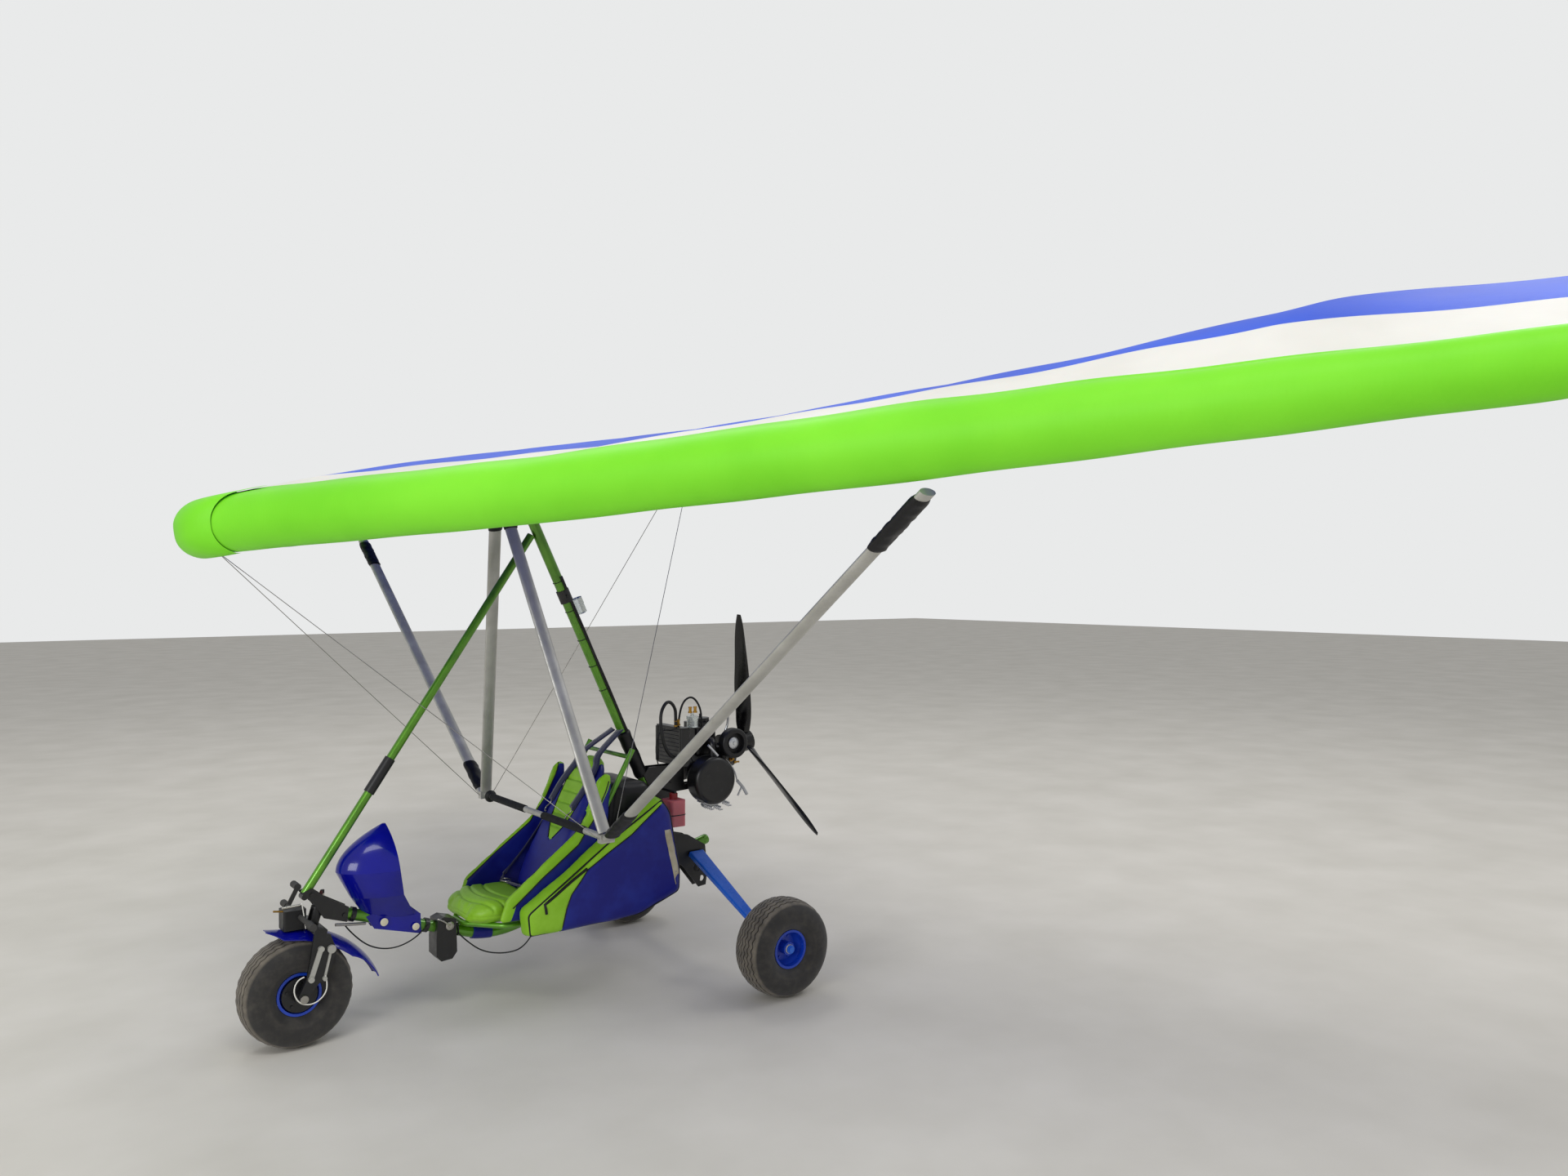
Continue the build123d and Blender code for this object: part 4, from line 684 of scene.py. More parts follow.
cone = grid("nose_cap", [cone_row(y) for y in np.linspace(-CONE_EDGE, CONE_EDGE, 41)], SAIL_GREEN, "wing")
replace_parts(subdivided(cone), "nose_cone")
channel_rows = []
for aft in np.linspace(SLOT_START, SLOT_END, 30):
    share = (aft - section(SLOT_HALF)[0]) / section(SLOT_HALF)[1]
    low = np.interp(share, SHARES, section(SLOT_HALF)[3])
    ridge = SLOT_TOP + SLOT_RIDGE
    course = ((SLOT_HALF, low), (SLOT_HALF, SLOT_TOP), (0, ridge), (-SLOT_HALF, SLOT_TOP), (-SLOT_HALF, low))
    channel_rows.append([on_wing(aft, min(up, ridge), y) for y, up in course])
grid("keel_channel", channel_rows, SAIL_BLUE, "wing")
apron_shares = np.linspace(POCKET_BELOW / NOSE_CHORD, (SLOT_START + 0.03) / NOSE_CHORD, 6)
apron_rows = []
for y in np.linspace(-SLOT_HALF, SLOT_HALF, 13):
    apron_rows.append([on_wing(*skin_point(abs(y), s, False), y) for s in apron_shares])
grid("nose_apron", apron_rows, SAIL_BLUE, "wing")
for side_name, side in SIDES.items():
    rib = [
        [on_wing(*skin_point(half_span, s, above), side * half_span) for above in (True, False)]
        for s in np.linspace(0.02, 1, 16)
    ]
    grid(f"tip_rib_{side_name}", rib, SAIL_BLUE, "wing")
print("nose cap, keel channel and tip ribs made")

# %% [markdown]
# ## Stuffed and sewn goods
# A pad starts as a plain closed form a little smaller than the real one. It is remeshed evenly and blown up
# by a short cloth simulation, as foam pushes its cover out, and seams are pressed in afterwards, because the
# remesh would have rubbed them out.

# %% Stuffing helpers
CLOTH_STEPS = 14


def soft(value, power):
    """A sine or cosine flattened into a rounder or squarer corner, its sign kept."""
    return np.sign(value) * abs(value) ** power


def settled(obj):
    """Make the result of a piece's modifiers its own mesh."""
    mesh = bpy.data.meshes.new_from_object(obj.evaluated_get(bpy.context.evaluated_depsgraph_get()))
    obj.modifiers.clear()
    obj.data = mesh
    return obj


def points_of(obj):
    """The piece's points as rows of x, y, z."""
    flat = np.zeros(len(obj.data.vertices) * 3)
    obj.data.vertices.foreach_get("co", flat)
    return flat.reshape(-1, 3)


def move_points(obj, points):
    """Put the piece's points back."""
    obj.data.vertices.foreach_set("co", np.asarray(points, float).ravel())
    obj.data.update()


def stuffed(obj, voxel, pressure, cap):
    """Remesh evenly, blow up, and hold each point within cap of where it began; then subdivide once."""
    even = obj.modifiers.new("even", "REMESH")
    even.mode, even.voxel_size = "VOXEL", voxel
    settled(obj)
    start = points_of(obj)
    cloth = obj.modifiers.new("cover", "CLOTH")
    cloth.settings.use_pressure = True
    cloth.settings.uniform_pressure_force = pressure
    cloth.settings.effector_weights.gravity = 0
    cloth.point_cache.frame_end = CLOTH_STEPS
    for step in range(1, CLOTH_STEPS + 1):
        bpy.context.scene.frame_set(step)
    settled(obj)
    bpy.context.scene.frame_set(1)
    shift = points_of(obj) - start
    far = np.linalg.norm(shift, axis=1, keepdims=True)
    move_points(obj, start + shift * np.minimum(1, cap / np.maximum(far, 1e-9)))
    smooth = obj.modifiers.new("even_out", "SMOOTH")
    smooth.factor, smooth.iterations = 0.5, 3
    settled(subdivided(obj))
    obj.data.shade_smooth()
    return obj


def press(obj, depth_at):
    """Press each point inward along its normal by what depth_at gives for the rows of points."""
    normals = np.zeros(len(obj.data.vertices) * 3)
    obj.data.vertex_normals.foreach_get("vector", normals)
    points = points_of(obj)
    move_points(obj, points - normals.reshape(-1, 3) * depth_at(points)[:, None])


def mark(obj, inside):
    """Write at each point how far inside the second colour it lies."""
    values = np.asarray(inside(points_of(obj)), np.float32)
    obj.data.attributes.new(MARK, "FLOAT", "POINT").data.foreach_set("value", values)


def seam(distance, half_width):
    """1 on a seam, falling smoothly to 0 at half_width from it."""
    return np.clip(1 - np.abs(distance) / half_width, 0, 1) ** 2


def to_line(points, route):
    """Each point's distance to a route of (ahead, up) corners, seen from the side; positive to its left."""
    flat = points[:, [0, 2]] - (NOSE_AXLE, 0)
    best = np.full(len(flat), 1e9)
    for start, end in zip(np.array(route[:-1]), np.array(route[1:])):
        run = end - start
        share = np.clip((flat - start) @ run / (run @ run), 0, 1)
        gap = flat - start - share[:, None] * run
        sign = np.sign(run[0] * gap[:, 1] - run[1] * gap[:, 0])
        size = np.linalg.norm(gap, axis=1)
        best = np.where(size < np.abs(best), sign * size, best)
    return best


def rounded(corners, radius, steps=5):
    """A closed outline, each corner turned by a curve that starts this far from it."""
    corners = [Vector(c) for c in corners]
    made = []
    for before, corner, after in zip(corners[-1:] + corners[:-1], corners, corners[1:] + corners[:1]):
        runs = [c - corner for c in (before, after)]
        ends = [corner + run.normalized() * min(radius, run.length / 2) for run in runs]
        for t in np.linspace(0, 1, steps):
            made.append(ends[0] * (1 - t) ** 2 + corner * 2 * t * (1 - t) + ends[1] * t**2)
    return made


def drawn_in(outline, distance):
    """A closed outline drawn in by this distance."""
    middle = sum(outline, Vector((0, 0))) / len(outline)
    made = []
    for before, point, after in zip(outline[-1:] + outline[:-1], outline, outline[1:] + outline[:1]):
        run = (after - before).normalized()
        normal = Vector((run.y, -run.x))
        made.append(point - normal * distance * (1 if normal.dot(point - middle) > 0 else -1))
    return made


def slab(name, corners, radius, levels, material):
    """A flat bag or board from its side outline, by levels of (across, how far drawn in)."""
    outline = rounded(corners, radius)
    rings = [[at(p.x, p.y, across) for p in drawn_in(outline, inset)] for across, inset in levels]
    return lofted(name, rings, material, "root")


def skin_of(obj):
    """The piece's faces as a tree, to lay trim on them."""
    return BVHTree.FromPolygons([v.co for v in obj.data.vertices], [p.vertices for p in obj.data.polygons])


def laid_on(tree, points, ways, lift):
    """Points moved along their ways until they meet the skin, and then back off it by lift."""
    ways = ways if isinstance(ways, list) else [ways] * len(points)
    found = [(tree.ray_cast(p - way, way)[0], way.normalized()) for p, way in zip(points, ways)]
    return [hit - way * lift for hit, way in found if hit]


def along_route(route, step=0.02):
    """Points at even steps along (ahead, up) corners, with the corners themselves."""
    made = [route[0]]
    for (x0, z0), (x1, z1) in zip(route[:-1], route[1:]):
        count = max(1, round(hypot(x1 - x0, z1 - z0) / step))
        made += [(x0 + (x1 - x0) * k / count, z0 + (z1 - z0) * k / count) for k in range(1, count + 1)]
    return made


print("stuffing helpers ready; simulation is", "on")

# %% [markdown]
# The seat cushion is a lime vinyl pad with a round front and three seams across it. Its back is a tapered
# pad whose lime middle is sewn into puffed ribs, edged with black piping, with navy side cheeks.

# %% Seat cushion
CUSHION_LOW, CUSHION_HALF, CUSHION_CORNER = 0.4131, 0.222, 0.13
CUSHION_TOP = ((-1.042, 0.499), (-0.8, 0.511), (-0.722, 0.485), (-0.69, 0.445))
CUSHION_SEAMS = (-0.745, -0.8, -0.865)
PUFF_SIDE, PUFF_TOP = 0.008, 0.012  # what the stuffing adds to the plain form


def cushion_ring(ahead):
    """The pad's rounded section across the machine, at this distance ahead."""
    front = CUSHION_TOP[-1][0]
    corner = max(0.0, CUSHION_CORNER - (front - ahead)) / CUSHION_CORNER
    half = CUSHION_HALF - PUFF_SIDE - CUSHION_CORNER * (1 - np.sqrt(max(0, 1 - corner**2)))
    top = np.interp(ahead, *zip(*CUSHION_TOP)) - PUFF_TOP
    middle, rise = (top + CUSHION_LOW) / 2 + 0.003, (top - CUSHION_LOW) / 2
    return [at(ahead, middle + rise * soft(sin(a), 0.5), half * soft(cos(a), 0.35)) for a in around(40)]


cushion = lofted("seat_pad", [cushion_ring(a) for a in np.linspace(-1.034, -0.698, 18)], VINYL_GREEN, "root")
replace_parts(cushion, "seat_cushion")
stuffed(cushion, 0.008, 4, 0.012)


def cushion_seams(p):
    """Three stitched channels across the top, their ends swept back, and one round the side."""
    bowed = p[:, 0] - NOSE_AXLE + 1.3 * p[:, 1] ** 2
    top = np.clip((p[:, 2] - 0.455) / 0.03, 0, 1)
    across = sum(seam(bowed - ahead, 0.016) for ahead in CUSHION_SEAMS)
    return 0.009 * across * top + 0.003 * seam(p[:, 2] - 0.447, 0.007)


press(cushion, cushion_seams)
print("cushion:", len(cushion.data.polygons), "faces")

# %% Seat back
BACK_FOOT, BACK_TOP = at(-1.09, 0.455), at(-1.444, 1.084)
BACK_WAY = (BACK_TOP - BACK_FOOT).normalized()
BACK_OUT = Vector((BACK_WAY.z, 0, -BACK_WAY.x))
BACK_LENGTH, BACK_DEPTH = 0.724, 0.055
BACK_HALF = (
    (0, 0.15), (0.14, 0.196), (0.4, 0.196), (0.66, 0.138), (0.69, 0.11), (0.71, 0.075), (0.724, 0.04),
)
BACK_GREEN = (
    (0.25, -0.02), (0.27, 0.02), (0.31, 0.05), (0.36, 0.085), (0.45, 0.105), (0.55, 0.115), (0.64, 0.112),
    (0.7, 0.09), (0.724, 0.06),
)
BACK_SEAMS = (0.33, 0.39, 0.45, 0.51, 0.57, 0.63)


def back_ring(along):
    """The back pad's section at this distance up from its foot."""
    half = np.interp(along, *zip(*BACK_HALF)) - 0.006
    ends = min(1, along / 0.03, (BACK_LENGTH - along) / 0.03)
    deep = (BACK_DEPTH / 2 - 0.004) * np.sqrt(1 - (1 - ends) ** 2 * 0.8)
    middle = BACK_FOOT + BACK_WAY * along + BACK_OUT * BACK_DEPTH / 2
    ring = []
    for a in around(44):
        over = Vector((0, half * soft(cos(a), 0.3), 0))
        ring.append(middle + over + BACK_OUT * deep * soft(sin(a), 0.55))
    return ring


rings = [back_ring(along) for along in np.linspace(0.004, BACK_LENGTH - 0.004, 44)]
back = lofted("seat_back_pad", rings, VINYL_TWO, "root")
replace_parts(back, "seat_back")
stuffed(back, 0.009, 4, 0.01)


def up_the_back(p):
    """How far up the back, across it, and out of it each point lies."""
    offset = p - np.array(BACK_FOOT)
    return offset @ np.array(BACK_WAY), offset[:, 1], offset @ np.array(BACK_OUT)


def inside_green(p):
    """Metres inside the lime middle panel."""
    along, across, _ = up_the_back(p)
    return np.interp(along, *zip(*BACK_GREEN)) - np.abs(across)


def back_seams(p):
    """Ribs across the lime panel, and the groove that the piping lies in."""
    along, across, out = up_the_back(p)
    face = np.clip((out - 0.03) / 0.02, 0, 1)
    inner = np.clip(inside_green(p) / 0.01, 0, 1)
    ribs = sum(seam(along - rib + 0.2 * across**2, 0.014) for rib in BACK_SEAMS)
    return face * (0.008 * ribs * inner + 0.004 * seam(inside_green(p), 0.01))


press(back, back_seams)
mark(back, inside_green)
back_skin = skin_of(back)
for side_name, side in SIDES.items():
    edge = [(a, np.interp(a, *zip(*BACK_GREEN)) * side) for a in np.linspace(0.27, 0.7, 30)]
    path = [BACK_FOOT + BACK_WAY * a + BACK_OUT * 0.03 + Vector((0, y, 0)) for a, y in edge]
    path = laid_on(back_skin, path, -BACK_OUT * 0.3, 0.002)
    line(f"back_piping_{side_name}", path, 0.0028, BLACK_CLOTH, "root")
print("seat back:", len(back.data.polygons), "faces,", len(BACK_SEAMS), "seams")

# %% [markdown]
# Two long bolsters run from the cushion's corners up past the back. Their top edge is a lime strip; the navy
# faces are slack vinyl, and the starboard one shows its creases on the inside.

# %% Seat bolsters
BOLSTER = (
    (-0.8, 0.42), (-0.838, 0.53), (-1.0, 0.655), (-1.165, 0.773), (-1.245, 0.88), (-1.3, 0.99),
    (-1.324, 1.05), (-1.376, 1.04), (-1.345, 0.73), (-1.2, 0.4),
)
BOLSTER_INNER, BOLSTER_OUTER = 0.2302, 0.2558
BOLSTER_LEVELS = (
    (BOLSTER_INNER, 0.012), (BOLSTER_INNER + 0.006, 0.003),
    (BOLSTER_OUTER - 0.006, 0.003), (BOLSTER_OUTER, 0.012),
)
STRIP_OUTSIDE, STRIP_INSIDE = 0.05, 0.014


def creases(p):
    """Soft folds pressed in all over the slack bolster, running down its faces."""
    down = [noise.noise(Vector(((x - 1.3 * z) * 11, 3.0, (z + x) * 3))) for x, _, z in p]
    return np.array(down) * 0.004


def strip_edge(p):
    """Metres inside the lime strip along the top edge, which reaches lower down the outside."""
    depth = np.where(np.abs(p[:, 1]) > (BOLSTER_INNER + BOLSTER_OUTER) / 2, STRIP_OUTSIDE, STRIP_INSIDE)
    return depth - np.abs(to_line(p, BOLSTER[:8]))


for side_name, side in SIDES.items():
    levels = [(side * y, inset) for y, inset in BOLSTER_LEVELS]
    bolster = slab(f"bolster_{side_name}", BOLSTER, 0.03, levels, VINYL_TWO)
    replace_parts(bolster, "seat_sides")
    stuffed(bolster, 0.008, 2, 0.003)
    press(bolster, creases)
    mark(bolster, strip_edge)
    bolster_skin = skin_of(bolster)
    middle = side * (BOLSTER_INNER + BOLSTER_OUTER) / 2
    for face, way, depth in (("inner", side, STRIP_INSIDE), ("outer", -side, STRIP_OUTSIDE)):
        edge = [at(x - 0.5 * depth, z - 0.87 * depth, middle) for x, z in along_route(BOLSTER[1:7])]
        path = laid_on(bolster_skin, edge, Vector((0, way * 0.4, 0)), 0.0015)
        line(f"bolster_piping_{side_name}_{face}", path, 0.0026, BLACK_CLOTH, "root")
print("bolsters: two, with piping")

# %% [markdown]
# Outside each bolster hangs a big wedge-shaped pannier. Its front is a lime panel with an L-shaped zip, a
# lime band runs along its sloping top, and black piping follows every edge. Near the tail a strip of clear
# vinyl has worn to beige.

# %% Panniers
PANNIER = (
    (-0.873, 0.478), (-0.885, 0.345), (-1.474, 0.355), (-1.701, 0.443), (-1.71, 0.56), (-1.652, 0.85),
    (-1.592, 0.936), (-1.301, 0.765),
)
PANNIER_INNER, PANNIER_DEPTH, PANNIER_CORNER = 0.2564, 0.1, 0.03
PANNIER_LEVELS = ((0, 0.012), (0.008, 0.002), (0.05, 0.006), (0.09, 0.012), (0.097, 0.024))
PANEL_SEAM = (
    (-1.189, 0.631), (-1.146, 0.577), (-1.104, 0.53), (-1.079, 0.474), (-1.062, 0.408), (-1.05, 0.331),
)
BAND_SEAM = ((-1.6, 0.895), (-1.579, 0.886), (-1.505, 0.831), (-1.415, 0.763), (-1.301, 0.7), (-1.189, 0.631))
ZIP = ((-1.184, 0.636), (-0.973, 0.506), (-0.979, 0.464))
WORN_STRIP = ((-1.607, 0.762), (-1.681, 0.462))


def pannier_green(p):
    """Metres inside the lime front panel or the lime top band."""
    return np.maximum(to_line(p, PANEL_SEAM), to_line(p, BAND_SEAM))


def pannier_shape(p):
    """The slack cloth falls in a few broad dents, and is gathered by its seams."""
    broad = np.array([noise.noise(Vector((x * 5, 8.0 * np.sign(y), z * 5))) for x, y, z in p])
    seams = seam(to_line(p, PANEL_SEAM), 0.012) + seam(to_line(p, BAND_SEAM), 0.012)
    return 0.006 * broad + 0.004 * seams


for side_name, side in SIDES.items():
    levels = [(side * (PANNIER_INNER + d), inset) for d, inset in PANNIER_LEVELS]
    pannier = slab(f"pannier_{side_name}", PANNIER, PANNIER_CORNER, levels, VINYL_TWO)
    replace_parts(pannier, "side_pods")
    stuffed(pannier, 0.013, 3, 0.009)
    press(pannier, pannier_shape)
    mark(pannier, pannier_green)
    skin, look = skin_of(pannier), Vector((0, -side * 0.5, 0))
    middle = side * (PANNIER_INNER + PANNIER_DEPTH / 2)
    trims = (
        # name, route, radius, finish
        ("panel_piping", PANEL_SEAM, 0.003, BLACK_CLOTH),
        ("band_piping", BAND_SEAM, 0.003, BLACK_CLOTH),
        ("zip", ZIP, 0.0065, BLACK_CLOTH),
    )
    for trim, route, radius, coat in trims:
        path = laid_on(skin, [at(x, z, middle) for x, z in along_route(route)], look, 0.0)
        line(f"pannier_{trim}_{side_name}", path, radius, coat, "root", smooth=trim != "zip")
    outline = rounded(PANNIER, PANNIER_CORNER)
    shoulder = [at(p.x, p.y, side * (PANNIER_INNER + PANNIER_DEPTH)) for p in drawn_in(outline, 0.014)]
    inward = [(at(q.x, q.y, middle) - p) * 3 for p, q in zip(shoulder, drawn_in(outline, 0.06))]
    edge = laid_on(skin, shoulder, inward, 0.001)
    line(f"pannier_edge_{side_name}", [*edge, edge[0]], 0.004, BLACK_CLOTH, "root")
    strip = []
    for x, z in along_route(WORN_STRIP, 0.03):
        for offset in (-0.019, 0.019):
            fray = noise.noise(Vector((x * 60, offset * 90, z * 60))) * 0.005
            strip += laid_on(skin, [at(x + offset + fray, z, middle)], look, 0.002)
    made = mesh_piece(f"pannier_worn_strip_{side_name}", strip, quads(len(strip) // 2, 2), PALE_STRIP, "root")
    made.modifiers.new("thick", "SOLIDIFY").thickness = 0.0015
print("panniers: two, with zips, piping and worn strips")

# %% [markdown]
# Behind the seat back a black padded bag covers the fuel tank. It is a plain wedge, slightly swollen.

# %% Tank bag
TANK = ((-1.345, 0.449), (-1.408, 0.99), (-1.618, 0.982), (-1.665, 0.87), (-1.665, 0.527))
TANK_HALF = 0.19
TANK_LEVELS = ((-1, 0.004, 0.03), (-1, 0.03, 0.008), (1, 0.03, 0.008), (1, 0.004, 0.03))
levels = [(side * (TANK_HALF - d), inset) for side, d, inset in TANK_LEVELS]
tank_bag = slab("tank_bag", TANK, 0.04, levels, BLACK_CLOTH)
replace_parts(tank_bag, "fuel_tank")
stuffed(tank_bag, 0.014, 3, 0.006)
print("tank bag:", len(tank_bag.data.polygons), "faces")

# %% [markdown]
# The harness is navy webbing. Each shoulder strap hooks on near the seat, lies up the pad and goes on to the
# mast; a lap strap comes down the starboard bolster and lies across the cushion's rear with its buckle.

# %% Straps, hooks and buckle
STRAP_WIDTH, LAP_WIDTH, STRAP_THICK = 0.056, 0.025, 0.0035
MAST_FOOT, MAST_WAY = at(-1.854, 0.581), Vector((0.4224, 0, 0.9064))
MAST_REACH = 0.0255


def smooth_run(points, step=0.015):
    """A soft curve through points, as even short steps."""
    padded = [points[0] * 2 - points[1], *points, points[-1] * 2 - points[-2]]
    run = []
    for a, b, c, d in zip(padded, padded[1:], padded[2:], padded[3:]):
        count = max(2, round((c - b).length / step))
        bend, twist = a * 2 - b * 5 + c * 4 - d, b * 3 - a - c * 3 + d
        for t in np.linspace(0, 1, count, endpoint=False):
            run.append((b * 2 + (c - a) * t + bend * t**2 + twist * t**3) / 2)
    return [*run, points[-1]]


def strap(name, points, across, width):
    """Flat webbing along a run of points, its width lying along across."""
    run, across = smooth_run(points), Vector(across).normalized()
    rows = []
    for before, point, after in zip([run[0], *run], run, [*run[1:], run[-1]]):
        way = (after - before).normalized()
        over = (across - way * across.dot(way)).normalized()
        rows.append([point + over * width * s for s in (-0.5, -0.17, 0.17, 0.5)])
    made = grid(name, rows, STRAP, "root")
    made.modifiers.new("thick", "SOLIDIFY").thickness = STRAP_THICK
    return made


def on_pad(along, across, lift):
    """A point on the seat back's padded face."""
    return BACK_FOOT + BACK_WAY * along + BACK_OUT * (BACK_DEPTH + lift) + Vector((0, across, 0))


def on_mast(up, across=0.0, ahead=0.0, out=MAST_REACH):
    """A point on the mast's skin at this height, on the side that faces ahead and across."""
    side = Vector((ahead, across, 0))
    side = (side - MAST_WAY * side.dot(MAST_WAY)).normalized()
    return MAST_FOOT + MAST_WAY * ((up - MAST_FOOT.z) / MAST_WAY.z) + side * out


HARNESS = {
    "port": ((0.43, 0.07), (0.53, 0.1), (0.65, 0.11), (0.72, 0.085)),
    "starboard": ((0.44, -0.16), (0.54, -0.145), (0.64, -0.1), (0.72, -0.07)),
}
HOOK = (
    (0.012, 0), (0, 0.014), (-0.02, 0.012), (-0.03, 0), (-0.045, -0.012), (-0.062, -0.004), (-0.058, 0.01),
)
for side_name, course in HARNESS.items():
    top = on_mast(1.225, ahead=1) + Vector((0, 0.034 * SIDES[side_name], 0))
    points = [on_pad(along, across, 0.009) for along, across in course]
    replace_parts(strap(f"shoulder_strap_{side_name}", [*points, top], (0, 1, 0), STRAP_WIDTH), "harness")
    bend = [points[0] + BACK_WAY * a + Vector((0, b, 0)) for a, b in HOOK]
    line(f"strap_hook_{side_name}", bend, 0.0035, STEEL, "root")
lap = [at(-1.235, 0.764, -0.222), at(-1.137, 0.64, -0.224), at(-1.03, 0.53, -0.216), at(-1.0, 0.508, -0.17)]
strap("lap_strap_starboard", lap, (0.3, 0.25, -0.3), LAP_WIDTH)
lap = [at(-1.0, 0.512, -0.1), at(-1.01, 0.513, -0.02), at(-1.035, 0.512, 0.08), at(-1.06, 0.516, 0.17)]
strap("lap_strap_port", lap, (1, 0, 0.05), LAP_WIDTH)
ring = [at(-1.0 + 0.022 * cos(a), 0.514, -0.135 + 0.034 * sin(a)) for a in np.linspace(0, 2 * pi, 13)]
line("lap_buckle", ring, 0.004, STEEL, "root")
bar = [ring[3] * 0.5 + ring[0] * 0.5, ring[9] * 0.5 + ring[6] * 0.5]
line("lap_buckle_bar", bar, 0.003, STEEL, "root", smooth=False)
print("harness: two shoulder straps, a lap strap, hooks and a buckle")

# %% [markdown]
# ## Tyres
# All three are the same fat tyre. Its crown carries seven ribs between grooves that snake from side to side,
# and the ribs' tops hold pale dust from the floor.

# %% Tyres
TYRE_RADIUS, TYRE_SHOULDER, RIB_HALF = 0.2286, 0.2126, 0.0765
REAR_AXLE, HALF_TRACK = (-2.0, TYRE_RADIUS), 0.7525
RIBS, GROOVE_WIDTH, GROOVE_DEPTH, GROOVE_SLANT = 7, 0.007, 0.0065, 0.0009
SNAKE, SNAKE_TURNS, TYRE_TURNS, BEAD_LINE = 0.005, 36, 240, 0.0015
HUB_CAP = ((0.055, 0.021), (0.063, 0.021), (0.064, 0.013), (0.07, 0.0125), (0.07, 0))


def tyre_profile():
    """Columns of (across, radius, how far it snakes, dust) from one bead to the other."""
    arc = list(zip(*circle_through((0.062, 0.091), (0.1022, 0.156), (RIB_HALF, TYRE_SHOULDER), 15)))
    wall = []
    for k, (y, r) in enumerate(arc[:-1]):
        wall.append((y + BEAD_LINE * (k in (4, 5)), r, 0.0, 0.2 if k == 5 else 0.12))
    rib = (2 * RIB_HALF - (RIBS - 1) * GROOVE_WIDTH) / RIBS
    crown = []
    for k in range(RIBS):
        start = -RIB_HALF + k * (rib + GROOVE_WIDTH)
        floor_from, floor_to = start + rib + GROOVE_SLANT, start + rib + GROOVE_WIDTH - GROOVE_SLANT
        for y, deep in ((start, 0), (start + rib, 0), (floor_from, 1), (floor_to, 1)):
            if y <= RIB_HALF + 1e-9:
                droop = (TYRE_RADIUS - TYRE_SHOULDER) * (y / RIB_HALF) ** 2
                radius = TYRE_RADIUS - droop - GROOVE_DEPTH * deep
                crown.append((y, radius, 1.0 - (abs(y) / RIB_HALF) ** 8, 0.0 if deep else 1.0))
    return [(-y, r, s, d) for y, r, s, d in wall] + crown + wall[::-1]


def ribbed_tyre(name, centre, body):
    """The tyre about its axle, which runs across the machine."""
    columns, rows = tyre_profile(), []
    for k in range(TYRE_TURNS + 1):
        a = 2 * pi * k / TYRE_TURNS
        sway = SNAKE * sin(SNAKE_TURNS * a)
        spots = [(r * cos(a), y + sway * snake, r * sin(a)) for y, r, snake, _ in columns]
        rows.append([centre + Vector(spot) for spot in spots])
    made = grid(f"ribbed_{name}", rows, TYRE, body)
    mark(made, lambda p: [dust for *_, dust in columns] * len(rows))
    work = bmesh.new()
    work.from_mesh(made.data)
    bmesh.ops.remove_doubles(work, verts=work.verts, dist=1e-6)
    work.to_mesh(made.data)
    work.free()
    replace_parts(with_edges(made, 45), name)


ribbed_tyre("nose_tyre", at(0, TYRE_RADIUS), "nose_wheel")
for side_name, side in SIDES.items():
    hub, wheel = at(*REAR_AXLE, HALF_TRACK * side), f"main_wheel_{side_name}"
    ribbed_tyre(f"main_tyre_{side_name}", hub, wheel)
    turned(f"hub_cap_{side_name}", HUB_CAP, hub, (0, side, 0), CREAM_PLASTIC, wheel)
print("tyres:", len(tyre_profile()), "columns by", TYRE_TURNS)

# %% [markdown]
# ## Covers on the wing's tubes
# Black cloth sleeves are pulled over the ends of the struts and the tops of the downtubes, and they wrinkle
# where they are too long. The base bar has two foam grips and a rubber ball at its starboard end.

# %% Sleeves and grips
BAR, BAR_REACH, BAR_CORNER = at(-1.119, 0.837), 0.0152, 0.657
FOAM_REACH, FOAM_ROUND, FOAM_END = 0.018, 0.003, 0.006
BALL_HALF, BALL_REACH = 0.0185, 0.031
SLEEVE_STEP, CUFF, CUFF_GRIP, FOLD = 0.006, 0.012, 0.0035, 0.0032


def sleeve(name, start, end, half_chord, half_thick):
    """A wrinkled cloth sleeve round a faired tube that points forward."""
    way, length = (end - start).normalized(), (end - start).length
    chord = (Vector((1, 0, 0)) - way * way.x).normalized()
    flat = way.cross(chord)
    rings = []
    for along in np.linspace(0, length, round(length / SLEEVE_STEP)):
        cuff = min(1, along / CUFF, (length - along) / CUFF)
        ring = []
        for a in around(36):
            fold = noise.noise(Vector((cos(a) * 1.3, sin(a) * 1.3, along * 42))) * FOLD
            spread = -CUFF_GRIP * (1 - cuff) + fold * cuff
            over = chord * (half_chord + spread) * cos(a) + flat * (half_thick + spread) * sin(a)
            ring.append(start + way * along + over)
        rings.append(ring)
    return with_edges(lofted(name, rings, BLACK_CLOTH, "wing"), 60)


